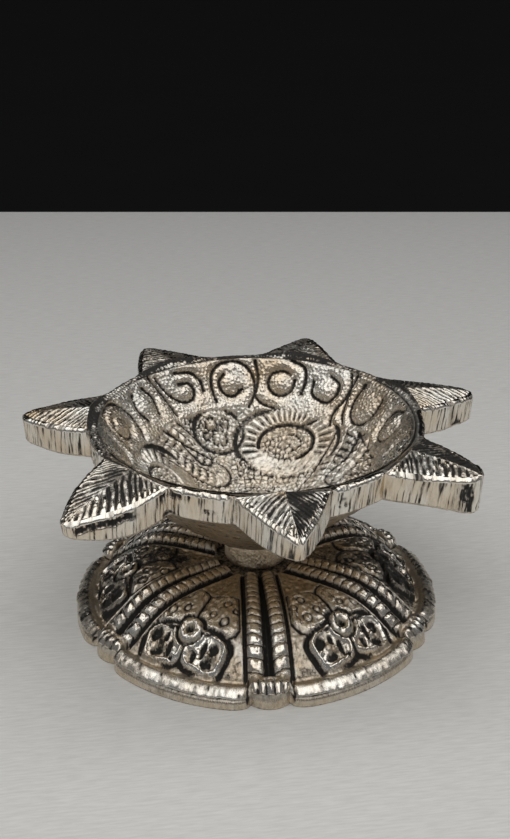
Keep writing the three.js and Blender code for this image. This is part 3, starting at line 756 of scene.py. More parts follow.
def carve_border(angle, length):
    """Broad bands and beads outlined by narrow grooves"""
    grains = pebbles(join(angle * scroll_radius, length), 0.6, 103)
    border = Carving(angle * scroll_radius, length, 0)
    nearest = np.full(length.shape, 2.0)
    step = full_turn / len(scroll_border)
    for number, (bead, grooves) in enumerate(scroll_border):
        middle = (math.radians(scroll_first) + number * step) % full_turn
        for lap in (-1, 0, 1):
            centre = np.array([(middle + lap * full_turn) * scroll_radius, scroll_level])
            if -8 < centre[0] < full_turn * scroll_radius + 8:
                for groove in grooves:
                    line = curve(centre + scroll_scale * np.array(groove) * (-1, 1), 5)
                    away = border.distance(line, 2)
                    border.cut(away, groove_half_width, border_groove_depth)
                    nearest = np.minimum(nearest, away)
                place = centre + scroll_scale * np.array(bead[:2]) * (-1, 1)
                border.swell(border.oval(place, scroll_scale * bead[2], scroll_scale * bead[3]), 1, 0.5, 0.0)
    band = 0.42 * smooth(nearest / 1.2) - 0.16
    relief = np.maximum(border.height, band) - border.carved + border_grain * (grains - 0.7)
    uneven = lumps(join(angle * scroll_radius, length), 2.5, 104)
    return relief, border.carved * (0.75 + 0.6 * uneven)


def medallion(field, centre, half_x, half_y, tilt, flutes):
    """A fluted shell with an open whorl in it"""
    whole = field.oval(centre, half_x, half_y, tilt)
    dx = field.x - centre[0]
    dy = field.y - centre[1]
    round_angle = np.arctan2(dy, dx)
    inside = whole < 1.02
    dome = 0.34 * np.sqrt(clamp01(1.04 - whole ** 2)) - 0.02
    field.height = np.where(inside, np.maximum(field.height * 0.4, dome), field.height)
    facing = rise(np.cos(round_angle - math.radians(tilt + 95)), -0.7, 0.5)
    rays = rise(whole, 0.6, 0.08) * fall(whole, 1.02, 0.05) * facing
    field.carved = np.maximum(field.carved, 0.36 * rays * (0.5 + 0.5 * np.cos(flutes * round_angle)) ** 2)
    small = min(half_x, half_y)
    field.cut(np.abs(whole - 1.06) * small, 0.62, 0.6 * facing)
    turn = np.radians(np.linspace(200, -60, 30))
    spiral = np.stack([np.cos(turn) * half_x, np.sin(turn) * half_y], axis=-1)
    spiral = spiral * np.linspace(0.6, 0.5, 30)[:, None]
    lean = math.radians(tilt)
    spiral = spiral @ np.array([[math.cos(lean), math.sin(lean)], [-math.sin(lean), math.cos(lean)]])
    field.groove(centre + spiral, 0.55, 0.65)
    field.groove(centre + spiral[12:] * 0.5, 0.4, 0.35)
    field.smoothed = np.maximum(field.smoothed, fall(whole, 1.02, 0.1) * rise(whole, 0.5, 0.1))


def rosette(field, centre, radius, petals):
    """A small flower: a bead in a ring of beads"""
    field.bead(centre, radius * 0.34, 0.4, -0.3)
    for k in range(petals):
        turn = full_turn * k / petals
        field.bead((centre[0] + radius * 0.68 * math.cos(turn), centre[1] + radius * 0.68 * math.sin(turn)),
                   radius * 0.27, 0.28, -0.3)


def leaf(field, line, half_width, veins):
    """A leaf with a midrib and slanting veins"""
    away = field.distance(line, half_width + 0.7)
    field.swell(away, half_width, 0.3, -0.2)
    field.smoothed = np.maximum(field.smoothed, 0.7 * fall(away, half_width, 0.3))
    start = np.asarray(line[0], float)
    along = np.asarray(line[-1], float) - start
    length = np.hypot(*along)
    share = ((field.x - start[0]) * along[0] + (field.y - start[1]) * along[1]) / length ** 2
    slanted = share * veins - away * 0.5 / half_width * 1.2
    inside = fall(away, half_width, 0.4) * smooth(away / 0.3)
    field.carved = np.maximum(field.carved, 0.26 * inside * (0.5 + 0.5 * np.cos(full_turn * slanted)) ** 2)
    field.groove(line, 0.35, 0.3)
    field.cut(np.abs(away - half_width), 0.45, 0.45)


def turned_by(point, angle):
    return (point[0] * math.cos(angle) - point[1] * math.sin(angle),
            point[0] * math.sin(angle) + point[1] * math.cos(angle))


def turned_line(knots, angle):
    return curve([turned_by(knot, angle) for knot in knots])


# Places and sizes of the beads on the small medallion
medallion_beads = [((-5.6, 17.1), 0.8), ((-3.1, 17.5), 0.6), ((-4.2, 14.9), 1.0), ((-6.4, 14.9), 0.5)]


def carve_field(angle, length):
    """Medallions and leaves round a middle medallion, the same three times, over a pebbled ground"""
    x = length * np.sin(angle)
    y = -length * np.cos(angle)
    grains = pebbles(join(x, y), 0.85, 112)
    field = Carving(x, y, -0.16 + 0.12 * lumps(join(x, y), 1.6, 111))
    broken = smooth(0.35 + 1.3 * noise(join(angle * 4, 0), 1.3, 114))
    field.cut(np.abs(length - field_edge - 1.4 * noise(join(angle * 6, 0), 2.4, 115)), 0.45, 0.35 * broken)
    for k in range(field_repeats):
        turn = full_turn * k / field_repeats
        tilt = math.degrees(turn)
        medallion(field, turned_by((7.3, 12.2), turn), 8.6, 6.2, tilt - 22, 34)
        small = turned_by((-4.3, 16.1), turn)
        field.swell(field.oval(small, 4.3, 3.8, tilt + 5), 1, 0.22, -0.1)
        field.cut(np.abs(field.oval(small, 4.4, 3.9, tilt + 5) - 1) * 4, 0.55, 0.5)
        for spot, size in medallion_beads:
            place = turned_by(spot, turn)
            field.bead(place, size, 0.5, 0.05, 1.2)
            field.cut(np.abs(field.oval(place, size * 1.3, size * 1.5) - 1) * size, 0.32, 0.32)
        leaf(field, turned_line([(-17.2, 11.2), (-12.7, 10.2), (-5.6, 7.6)], turn), 2.6, 9)
        leaf(field, turned_line([(-13, 14.8), (-10.4, 13.6), (-7.2, 10.6)], turn), 1.5, 5)
        field.groove(turned_line([(-19.6, 11.6), (-19.4, 5.7), (-17.3, 1.0)], turn), 0.5, 0.6)
        rosette(field, turned_by((-0.6, 10.2), turn), 1.5, 6)
        rosette(field, turned_by((17.2, 5.2), turn), 2.2, 6)
    field.cut(np.abs(length - middle_ring), 0.4, 0.3)
    medallion(field, (0, 0), 4.2, 4.2, 0, 14)
    relief = field.relief() + mix(field_grain, 0.04, field.smoothed) * (grains - 0.75)
    gaps = 0.34 * (1 - grains) * (1 - field.smoothed)
    return np.maximum(relief, -deepest_carving), np.maximum(field.carved, gaps)


def bowl_inside():
    """Carved inside of the bowl: the border over the field"""
    radius, z, arc_length = bowl_arc()
    length = np.linspace(0, arc_length[-1], bowl_rows)[:, None]
    angle = np.linspace(0, full_turn, bowl_columns + 1)
    row_radius = np.interp(length, arc_length, radius)
    row_z = np.interp(length, arc_length, z)
    slope = np.gradient(row_z[:, 0], row_radius[:, 0])[:, None]
    lean = np.hypot(slope, 1)
    length, angle = np.broadcast_arrays(length, angle)
    in_border = rise(length - 1.5 * noise(join(angle * 9, 0), 3, 127), field_edge - 0.2, 1.6)
    field, field_cuts = carve_field(angle, length)
    border, border_cuts = carve_border(angle, length)
    carved = mix(field, border, in_border)
    cuts = mix(field_cuts, border_cuts, in_border)
    flat = polar(row_radius, angle, row_z)
    skin = 0.09 * lumps(flat, 0.55, 121, 3) + 0.08 * lumps(flat, 2.5, 125)
    relief = (carved + skin) * fall(length, arc_length[-1], 0.5)
    depth = relief - skin_depth
    points = polar(row_radius - depth * slope / lean, angle, row_z + depth / lean)
    patina, shine = aged(relief, 4, 6, 0.25)
    patina = np.maximum(patina, 0.95 * rise(cuts, 0.08, 0.45))
    worn = lumps(flat, 4, 131)
    near_rim = rise(length, 27.5, 1.2)
    patina = patina * (0.9 + 0.4 * worn) + 0.25 * smooth(worn * 2 - 0.3) * (1 - in_border) + 0.12
    patina += 0.1 * near_rim
    shine = shine * mix(0.25, 0.9, in_border) * clamp01(1.1 - 0.5 * worn)
    warm = 0.35 + 0.7 * lumps(flat, 6, 135)
    return Sheet(points, patina, shine, warm)


def aged(relief, rows, columns, depth):
    """Patina and shine of a relief: dark where it lies below its surroundings, bright above"""
    level = blurred(relief, rows, columns)
    return clamp01((level - relief) / depth), clamp01((relief - level) / depth)


def bowl_outside():
    """Plain, lumpy outside of the bowl and its seat on the collar"""
    t = np.linspace(0, 1, outside_rows)[:, None]
    angle = np.linspace(0, full_turn, outside_columns + 1)
    under = [[bowl_seat_radius - 0.4], [collar_radius], [hole_radius]]
    radius = np.vstack([mix(bowl_top_radius, bowl_seat_radius, t), under])
    z = mix(bowl_seat_height, underside_height, (1 - t) ** bowl_curve_outside)
    z = np.vstack([z, np.full((3, 1), bowl_seat_height)])
    flat = polar(radius, angle, z)
    hollow = smooth(np.vstack([np.minimum(t, 1 - t) * 12, np.zeros((3, 1))]))
    relief = 0.16 * lumps(flat, 1.3, 141, 3) + 0.1 * lumps(flat, 4, 145)
    relief = (relief - 0.12) * hollow
    patina, shine = aged(relief, 4, 8, 0.14)
    shade = lumps(flat, 5, 147)
    points = polar(radius + relief * 0.6, angle, z - relief * 0.8)
    return Sheet(points, 0.15 + 0.6 * patina + 0.3 * shade, shine * 0.9, 0.75 + 0.5 * shade)


def dome_height(radius):
    share = clamp01((radius - foot_seat_radius) / (band_inner - foot_seat_radius))
    return mix(dome_edge_height, foot_height, (1 - share ** dome_shoulder) ** dome_slope)


def rope_turns(radius):
    """Number of turns of the rope from its start out to a radius; they grow towards the rim"""
    span = dome_end - rib_start
    share = clamp01((radius - rib_start) / span)
    growth = rope_pitch_at_rim - rope_pitch
    return span / growth * np.log(1 + growth / rope_pitch * share)


def rib_relief(radius, offset):
    """Height of the double rope over the dome, and how polished it is"""
    share = clamp01((radius - rib_start) / (dome_end - rib_start))
    inner = mix(strand_gap, strand_gap_at_rim, share) / 2
    width = mix(strand_width, strand_width_at_rim, share)
    t = (np.abs(offset) - inner) / width
    round_top = np.sqrt(clamp01(1 - (2 * t - 1) ** 2))
    turns = rope_turns(radius) + 0.22 * (t - 0.5) + 0.12 * noise(join(offset * 3, radius), 2, 151)
    bead = np.abs(np.sin(np.pi * turns))
    segment = np.sqrt(clamp01(bead * 1.3))
    blunt = rise(radius, rib_start, 0.5)
    strand = round_top ** 0.8 * (strand_rise - rope_waist * (1 - segment)) * blunt
    on_strand = (t > 0) & (t < 1)
    slot = stripe(offset, np.maximum(inner, 0.01))
    slot = -mix(groove_depth, slot_depth, share ** 2) * slot * blunt
    beside = np.abs(offset) - inner - width
    side = -groove_depth * 1.3 * stripe(beside - 0.3, 0.42) * blunt
    height = np.where(on_strand, strand, np.where(t <= 0, slot, side))
    dark = np.where(on_strand, smooth(1 - round_top * 2) + 0.95 * smooth(1 - bead * 2.6), 0)
    dark = np.where(t <= 0, 1, np.where(t >= 1, smooth(1 - (beside - 0.25) / 0.5), dark)) * blunt
    each = 0.6 + 0.5 * noise(join(np.floor(turns) * 3.7, np.sign(offset) * 5), 1, 155)
    bright = np.where(on_strand, round_top * segment * each * mix(0.7, 1.2, share), 0) * blunt
    return height, dark, bright, beside


# Drilled holes of a foot panel (across, along, half width, half length) and its beads
panel_holes = [(-4.7, 21.5, 0.75, 0.75), (-3.1, 21.6, 0.4, 0.6), (-4.0, 23.5, 0.9, 0.45),
               (-2.1, 22.8, 0.4, 0.85), (4.5, 21.7, 0.65, 0.8), (3.0, 22.1, 0.4, 0.9),
               (4.1, 23.5, 0.85, 0.4), (1.9, 23.2, 0.4, 0.7), (-1.4, 23.9, 0.35, 0.4)]
panel_beads = [(-4.0, 22.5, 0.45), (-2.9, 22.9, 0.35), (3.8, 22.7, 0.4), (5.0, 22.7, 0.3), (-5.3, 22.6, 0.3)]


def panel_relief(across, along, beside):
    """Two rounded lobes over a squarish pair with a drilled boss, as on each of the foot's panels"""
    panel = Carving(across, along, 0)
    place = join(across, along)
    dark = np.zeros(across.shape)
    bright = np.zeros(across.shape)
    sunk = fall(along - 0.4 * noise(place, 1.5, 172), 12.4, 0.4) * rise(beside, 0.7, 0.4)
    panel.height -= 0.12 * sunk
    for side in (-1, 1):
        upper = (1 - panel.oval((side * 3.3, 16.3), 3.4, 3.9, -side * 10, 2.8)) * 3.2
        upper = np.minimum(upper, np.minimum(beside - 0.95, side * across - 0.1))
        panel.height += 0.4 * smooth(upper / 0.55)
        line = stripe(upper + 0.08, 0.26)
        panel.height -= 0.2 * line
        dark = np.maximum(dark, 0.95 * line)
        for spot, radius in (((3.1, 14.3), 0.7), ((5.0, 15.2), 0.6), ((4.2, 17.7), 0.75), ((2.1, 17.0), 0.6)):
            ring = np.abs(panel.oval((side * spot[0], spot[1]), radius, radius * 1.2) - 0.8) * radius
            panel.cut(ring, 0.28, 0.26)
            dark = np.maximum(dark, 0.6 * smooth(1 - ring / 0.28) * (upper > 0))
        bright = np.maximum(bright, 0.8 * smooth(upper / 0.5) * smooth(0.6 + noise(place, 1.6, 173)))

    boss = np.hypot(across, along - 20.3)
    lower = np.full(across.shape, -9.0)
    for side in (-1, 1):
        shape = (1 - panel.oval((side * 3.2, 22.35), 3.15, 2.4, side * 7, 4)) * 2.6
        lower = np.maximum(lower, np.minimum(shape, beside - 1.3))
    lower = np.minimum(lower, boss - 1.95)
    both = np.maximum(lower, 1.8 - boss)
    black = stripe(both + 0.36 + 0.12 * noise(place, 0.8, 174), 0.42)
    panel.height -= 0.65 * black
    dark = np.maximum(dark, smooth(black * 2.4))
    rim = stripe(lower - 0.35, 0.4)
    comb = smooth(0.5 + 1.2 * noise(join(across, along * 0.3), 0.7, 175))
    panel.height += (0.5 * rim + 0.22 * smooth(lower / 0.4)) * (0.75 + 0.25 * comb)
    bright = np.maximum(bright, np.maximum(rim, 0.8 * comb * smooth(lower / 0.4)))
    for x, y, wide, high in panel_holes:
        hole = panel.oval((x, y), wide, high) + 0.25 * noise(place, 0.5, 176)
        panel.height -= 0.6 * fall(hole, 1.15, 0.4)
        dark = np.maximum(dark, fall(hole, 1.15, 0.3))
        bright = bright * rise(hole, 0.9, 0.3)
    for x, y, size in panel_beads:
        panel.bead((x, y), size, 0.65, 0.2)
    seam = stripe(across + 0.15 * noise(place, 0.8, 177), 0.3) * rise(along, 21.8, 0.4)
    dark = np.maximum(dark, 0.8 * seam * (lower > -0.3))
    donut = np.abs(boss - 1.15)
    panel.swell(donut, 0.66, 0.75, 0)
    bright = np.maximum(bright, smooth(1 - donut / 0.6))
    hole = fall(boss, 0.62, 0.25)
    panel.height -= 0.9 * hole
    dark = np.maximum(dark * (donut > 0.6), hole)
    return panel.relief(), dark, bright, sunk


# How far each panel's ornament was cast off its middle, counted from the front rib
panel_shift = (1.2, 0.3, -0.4, 0.2, 0.5, -0.8)

# Painted shade on each of them: how much darker each panel is painted, most at the sides and back, where the
# light leaves it dark
panel_painted_shade = (0, 0.6, 0.8, 0.8, 0.5, 0.05)


def foot_dome(angle):
    """Dome from the collar's seat out to the channel"""
    fine = np.linspace(foot_seat_radius, dome_end, 3000)
    length = run_length(fine, dome_height(fine))
    radius = np.interp(np.linspace(0, length[-1], dome_rows), length, fine)
    radius = np.concatenate([[hole_radius, collar_radius], radius])[:, None]
    radius, angle = np.broadcast_arrays(radius, angle)
    from_rib = from_nearest(angle, rib_angle)
    height, dark, bright, beside = rib_relief(radius, radius * np.sin(from_rib))
    number = np.floor(angle / rib_angle).astype(int) % rib_count
    from_panel = angle % rib_angle - rib_angle / 2
    across = radius * np.sin(from_panel) - np.array(panel_shift)[number]
    along = radius * np.cos(from_panel)
    panel, panel_dark, panel_bright, sunk = panel_relief(across, along, beside)
    on_panel = rise(beside, 0.65, 0.3) * rise(radius, 6.3, 0.6)
    flat = polar(radius, angle, 0)
    rough = 0.2 * lumps(flat, 0.55, 161, 3) + 0.1 * lumps(flat, 2.2, 165)
    seat = rise(radius, foot_seat_radius + 0.1, 0.5)
    relief = height + (panel + rough) * on_panel + 0.08 * lumps(flat, 0.45, 167) * (1 - on_panel)
    z = dome_height(radius) + relief * seat
    hollow_dark, ridge_bright = aged(relief, 4, 9, 0.3)
    blotch = lumps(flat, 4, 171)
    plain_edge = rise(along, 20.5, 1.5) * on_panel * clamp01(1 - 2 * panel_bright - panel_dark)
    tone = np.array(panel_painted_shade)[number]
    patina = np.maximum(dark, panel_dark * on_panel) + 0.5 * hollow_dark + 0.25 * clamp01(blotch)
    patina += plain_edge * (0.35 + 0.3 * lumps(flat, 1.2, 175)) - 0.35 * sunk * (1 - on_panel)
    # tone is painted shade from the panel table, laid into the panel's patina
    patina += on_panel * (tone * (0.7 + blotch) - 0.12 * smooth(panel_bright * 2))
    patina += 0.6 * fall(radius, 6.6, 0.5)
    shine = np.maximum(bright, panel_bright * on_panel) * clamp01(0.85 - 0.6 * blotch) + 0.3 * ridge_bright
    outer = rise(radius, 14, 8)
    warm = mix(0.8, 0.25, outer) + 0.4 * plain_edge + 0.35 * blotch + 0.7 * sunk * on_panel
    return Sheet(polar(radius, angle, z), patina, shine * mix(0.55, 1.1, outer), warm)


def foot_outline(offset):
    """Nubs, and lobes whose corners are rounded off where they meet them"""
    across = np.abs(offset) / nub_half
    nub = lobe_radius - nub_setback - nub_rounding * across ** 2
    past = clamp01((np.abs(offset) - nub_half) / lobe_corner)
    lobe = lobe_radius - notch_depth * (1 - np.sqrt(1 - (1 - past) ** 2))
    return np.where(across <= 1, nub, lobe) - skin_inset


def foot_rim(angle, dome):
    """Channel, polished band, lip line and plain lower edge, with a nub at the end of each rib"""
    from_rib = from_nearest(angle, rib_angle)
    offset = lobe_radius * np.sin(from_rib)
    outline = foot_outline(offset)
    across = np.abs(offset) / nub_half
    nub = np.sqrt(clamp01(1 - across ** 2))
    sunk = groove_depth * stripe(across - 1.12, 0.14)
    crown = edge_top + band_rise
    channel_floor = dome_height(band_inner) + band_rise / 3 - channel_depth
    along = angle * lobe_radius
    jag = 0.13 * noise(join(along, 0), 0.55, 181) + 0.1 * noise(join(along, 0), 1.7, 182)
    start_z = dome.points[-1, :, 2]
    knots = [
        (band_width + channel_width * 0.55, channel_floor - sunk, nub_height),
        (band_width, mix(dome_height(band_inner), crown, 0.4) - sunk, nub_height),
        (band_width * 0.76, crown - sunk, nub_height),
        (band_width * 0.48, mix(edge_top, crown, 0.86) - sunk, nub_height * 0.94),
        (band_width * 0.22 + jag * 0.5, mix(edge_top, crown, 0.52) - sunk, nub_height * 0.82),
        (lip_depth * 0.4 + jag, mix(edge_top, crown, 0.14) - sunk / 2, nub_height * 0.68),
        (lip_depth + edge_lean + 0.1, edge_top - 0.12 - sunk / 2, nub_height * 0.58),
        (edge_lean * 0.75, edge_top * 0.62, edge_top * 0.66),
        (edge_lean * 0.2, edge_top * 0.2, edge_top * 0.2),
        (0.05, 0.03, 0.03),
    ]
    lines = [np.stack([np.full(angle.shape, dome_end), start_z], axis=-1)]
    for inward, z, nub_z in knots:
        radius = mix(outline, dome_end, inward / (band_width + channel_width))
        lines.append(np.stack([radius, mix(z, nub_z, nub)], axis=-1))
    profile = curve(np.stack(lines), 4)
    place = np.linspace(0, len(knots), len(profile))[:, None]
    flutes = 0.5 + 0.5 * np.cos(full_turn * offset / flute_pitch)
    on_nub = fall(across, 1, 0.15) * rise(place, 1, 1) * fall(place, 7.2, 1)
    fluted = flute_depth * on_nub * (1 - flutes)
    radius = profile[..., 0] - 1.1 * fluted * rise(place, 2.5, 2)
    z = profile[..., 1] - fluted
    scratch = 0.6 * noise(join(along, place * 0.6), 0.45, 184)
    scratch += 0.4 * noise(join(along, place * 0.3), 1.1, 185)
    on_band = rise(place, 1.8, 0.8) * fall(place, 6.2, 0.6)
    z += 0.06 * scratch * on_band
    z = np.maximum(z, 0.03)
    off_nub = rise(across, 1, 0.1)
    lip = stripe(place - 7, 0.8) * (0.75 + 0.4 * noise(join(along, 0), 0.9, 187))
    edge = rise(place, 7.3, 0.6)
    notch = stripe(across - 1.1, 0.12) * fall(place, 9.4, 2)
    channel = fall(place, 2.2, 0.8)
    patina = np.maximum(0.3 * channel + 0.85 * clamp01(scratch + 0.1) * on_band, notch)
    patina += lip * mix(0.5, 1, off_nub)
    patina += 0.65 * on_nub * (1 - flutes) ** 2
    patina += edge * (0.12 + 0.2 * lumps(join(along, place), 2, 188))
    patina += 0.5 * rise(place, 9.3, 0.7)
    shine = on_band * (0.45 - 0.6 * scratch) + 0.45 * edge + 0.5 * on_nub * flutes
    warm = 0.25 + 0.35 * edge + 0.4 * channel + 0.2 * noise(join(along, place), 5, 189)
    points = polar(radius, angle, z)
    grain = join(along * 1.3, place * 0.35, 0)
    return Sheet(points, patina, shine * (1 - notch), warm, grain)


def foot_hollow():
    """Standing ring, hollow underside and screw hole"""
    angle = np.linspace(0, full_turn, 361)
    standing = lobe_radius - base_width
    boss = washer_radius + seat_margin
    inner = np.linspace(standing - edge_lean, boss + seat_margin, 30)
    from_rib = from_nearest(angle, rib_angle)
    outline = foot_outline(lobe_radius * np.sin(from_rib)) - 0.05
    rows = [(outline, 0.03), (outline - 0.25, 0.0), (mix(outline, standing, 0.5), 0.0),
            (standing + 0.1, 0.0), (standing, 0.1)]
    rows += [(radius, dome_height(radius) - foot_wall) for radius in inner]
    rows += [(boss, screw_seat), (hole_radius, screw_seat), (hole_radius, foot_height)]
    radius, z = (np.stack([np.broadcast_to(row[k], angle.shape) for row in rows]) for k in range(2))
    flat = polar(radius, angle, 0)
    cast = np.arange(len(rows))[:, None]
    inside = rise(cast, 5, 2) * fall(cast, 33, 2)
    z += 0.12 * lumps(flat, 1.4, 191, 3) * inside
    return Sheet(polar(radius, angle, z), 0.3 + 0.5 * inside + 0.3 * lumps(flat, 4, 195), 0.1, 0.5)


def turned_sheet(profile, sides, seed, roughness):
    """A turned piece from knots of radius and height, with a slightly uneven skin"""
    angle = np.linspace(0, full_turn, sides + 1)
    profile = np.asarray(profile, float)
    radius = profile[:, :1]
    z = profile[:, 1:]
    flat = polar(radius, angle, z)
    skin = roughness * lumps(flat, 0.8, seed, 3)
    return polar(radius + skin * smooth(radius / 2), angle, z), lumps(flat, 2.2, seed + 7)


def collar_sheet():
    """Brass collar with a hammered skin and a rounded lower edge"""
    turn = np.linspace(0, math.pi / 2, 10)
    round_edge = np.stack([collar_radius - collar_rounding * (1 - np.sin(turn)),
                           foot_height + collar_rounding * (1 - np.cos(turn))], axis=-1)
    heights = np.linspace(foot_height + collar_rounding, bowl_seat_height, 27)[1:]
    wall = np.stack([np.full(len(heights), collar_radius), heights], axis=-1)
    bore = [[hole_radius, foot_height], [hole_radius, bowl_seat_height], [collar_radius, bowl_seat_height]]
    profile = np.vstack([wall[::-1], round_edge[::-1], bore])
    profile[:, 0] -= collar_inset * (profile[:, 0] > hole_radius + 0.01)
    points, blotch = turned_sheet(profile, 240, 201, collar_grain)
    low = fall(points[..., 2], foot_height + 1.1, 0.5)
    high = rise(points[..., 2], bowl_seat_height - 0.9, 0.6)
    around = np.arctan2(points[..., 0], points[..., 1]) * collar_radius
    grains = pebbles(join(around, points[..., 2]), 0.45, 211)
    outside = points[..., 0] ** 2 + points[..., 1] ** 2 > (collar_radius / 2) ** 2
    points[..., :2] *= (1 - 0.03 * (1 - grains) * outside)[..., None]
    pits = clamp01(noise(points, 0.9, 209) - 0.25) + 0.6 * (1 - grains)
    # Painted shade: the band at the collar's top, under the bowl, is painted darker; the collar is also
    # darker in a band at its lower joint with the foot
    patina = 0.5 * low + 0.3 * high + 0.5 * pits + 0.15 * blotch - 0.35
    return Sheet(points, patina, 0.35 - 0.3 * blotch, 0.6)


def washer_sheet():
    """Flat washer with bevelled corners"""
    bottom = screw_seat - washer_thickness
    bevel = 0.12
    inner = washer_radius - bevel
    profile = [(hole_radius, screw_seat), (inner, screw_seat), (washer_radius, screw_seat - bevel),
               (washer_radius, bottom + bevel), (inner, bottom)]
    profile += [(radius, bottom) for radius in np.linspace(inner - bevel, hole_radius, 12)]
    profile += [(hole_radius, screw_seat)]
    points, blotch = turned_sheet(profile, 120, 221, 0.012)
    return Sheet(points, 0.3 * blotch, 0.4, 0.2)


def screw_sheet():
    """Pan-head machine screw with a straight slot"""
    head_top = screw_seat - washer_thickness
    head_bottom = head_top - screw_head_height
    chamfer = screw_radius / 4
    end = bowl_seat_height + screw_engagement
    turn = np.linspace(0, math.pi / 2, 8)
    profile = [(0, end), (screw_radius - chamfer, end), (screw_radius, end - chamfer)]
    profile += [(screw_radius, z) for z in np.linspace(end - chamfer, head_top, 8)[1:]]
    profile += [(screw_head_radius, head_top)]
    profile += [(screw_head_radius - screw_head_rounding * (1 - math.cos(a)),
                 head_bottom + screw_head_rounding * (1 - math.sin(a))) for a in turn]
    flat_end = screw_head_radius - screw_head_rounding
    profile += [(radius, head_bottom) for radius in np.linspace(flat_end, 0, 40)[1:]]
    points, blotch = turned_sheet(profile, 192, 231, 0.01)
    slot_top = head_bottom + screw_slot_depth
    in_slot = (np.abs(points[..., 1]) < screw_slot_width / 2) & (points[..., 2] < slot_top)
    points[..., 2] = np.where(in_slot, slot_top, points[..., 2])
    return Sheet(points, 0.25 * blotch + 0.5 * in_slot, 0.4, 0.2)


def set_inputs(tree, made, inputs):
    """Sets each input of a node to a value, or links another node's socket to it"""
    for name, value in inputs.items():
        if isinstance(value, bpy.types.NodeSocket):
            tree.links.new(value, made.inputs[name])
        else:
            made.inputs[name].default_value = value


def node(tree, kind, inputs, **settings):
    made = tree.nodes.new(kind)
    for name, value in settings.items():
        setattr(made, name, value)
    set_inputs(tree, made, inputs)
    return made.outputs


def math_node(tree, operation, *values, clamp=False):
    return node(tree, "ShaderNodeMath", dict(enumerate(values)), operation=operation, use_clamp=clamp)[0]


def mix_colour(tree, share, a, b):
    return node(tree, "ShaderNodeMix", {"Factor": share, "A": a, "B": b}, data_type="RGBA")["Result"]


def ramp(tree, value, low, high):
    """0 below low and 1 above high"""
    limits = {"Value": value, "From Min": low, "From Max": high}
    return node(tree, "ShaderNodeMapRange", limits, interpolation_type="SMOOTHSTEP")["Result"]


def grain_noise(tree, vector, scale, detail, rough=0.6):
    inputs = {"Vector": vector, "Scale": scale, "Detail": detail, "Roughness": rough}
    return node(tree, "ShaderNodeTexNoise", inputs)["Fac"]


def new_material(name):
    material = bpy.data.materials.new(name)
    material.use_nodes = True
    return material, material.node_tree, material.node_tree.nodes["Principled BSDF"]


def metal(name, bright, brassy, tarnish_and_shade_colour, dirt_and_shade, rough=(0.14, 0.36), bump=0.75):
    """Worn metal: bright where polished, brassy where the plating thins, dark where grime gathers and where
    the patina carries painted shade
    """
    material, tree, shader = new_material(name)
    finish = node(tree, "ShaderNodeAttribute", {}, attribute_name="antique")["Color"]
    patina, shine, warm = node(tree, "ShaderNodeSeparateColor", {0: finish})
    place = node(tree, "ShaderNodeAttribute", {}, attribute_name="grain")["Vector"]

    fine = grain_noise(tree, place, 1.8, 5, 0.7)
    speck = grain_noise(tree, place, 5.0, 2)
    blotch = grain_noise(tree, place, 0.35, 3)
    # The patina attribute holds real patina and also painted shade on some petal flanks, foot panels, the
    # rim's far side and the collar's top. Both run into these masks and into the two dark colours.
    soil_and_shade = math_node(tree, "ADD", patina, math_node(tree, "MULTIPLY_ADD", fine, 1.9, -0.95))
    dirt_and_shade_share = ramp(tree, soil_and_shade, 0.3, 0.85)
    tarnish_and_shade = math_node(tree, "MULTIPLY", ramp(tree, soil_and_shade, -0.1, 0.5), 0.45)
    yellow = math_node(tree, "ADD", warm, math_node(tree, "SUBTRACT", blotch, 0.5), clamp=True)
    clean = mix_colour(tree, yellow, (*bright, 1), (*brassy, 1))
    dull = mix_colour(tree, tarnish_and_shade, clean, (*tarnish_and_shade_colour, 1))
    polished = math_node(tree, "MULTIPLY_ADD", shine, rough[0] - rough[1], rough[1])
    worn = math_node(tree, "ADD", polished, math_node(tree, "MULTIPLY_ADD", speck, 0.2, -0.1))
    bumps = node(tree, "ShaderNodeBump", {
        "Strength": math_node(tree, "MULTIPLY_ADD", shine, -0.75 * bump, bump),
        "Distance": bump_height,
        "Height": math_node(tree, "MULTIPLY_ADD", speck, 0.4, fine),
    })
    set_inputs(tree, shader, {
        "Base Color": mix_colour(tree, dirt_and_shade_share, dull, (*dirt_and_shade, 1)),
        "Metallic": math_node(tree, "MULTIPLY_ADD", dirt_and_shade_share, -0.95, 1),
        "Roughness": math_node(tree, "MULTIPLY_ADD", dirt_and_shade_share, 0.35, worn, clamp=True),
        "Normal": bumps["Normal"],
    })
    return material


def plain(name, colour, roughness, grain, scale):
    """A matt surface with a faint grain in its tone"""
    material, tree, shader = new_material(name)
    place = node(tree, "ShaderNodeTexCoord", {})["Object"]
    stretched = node(tree, "ShaderNodeMapping", {"Scale": (0.12, 1, 1), "Vector": place})["Vector"]
    streak = grain_noise(tree, stretched, scale, 3)
    lighter = tuple(min(1, value * (1 + grain)) for value in colour)
    darker = tuple(value * (1 - grain) for value in colour)
    tone = mix_colour(tree, streak, (*darker, 1), (*lighter, 1))
    set_inputs(tree, shader, {"Roughness": roughness, "Base Color": tone})
    return material


# Camera of the photograph, in millimetres and degrees
camera_place = (-25.317, -165.952, 110.912)
camera_pitch = 64.837
camera_heading = -8.413
camera_lens = 53.70
floor_back = 393.3               # floor distance from the camera to the far edge of the table
floor_front = 900                # and to its near edge, behind the camera
floor_half_width = 1500
backdrop_gap = 500
backdrop_half_width = 1600
backdrop_low = -400
backdrop_height = 1600


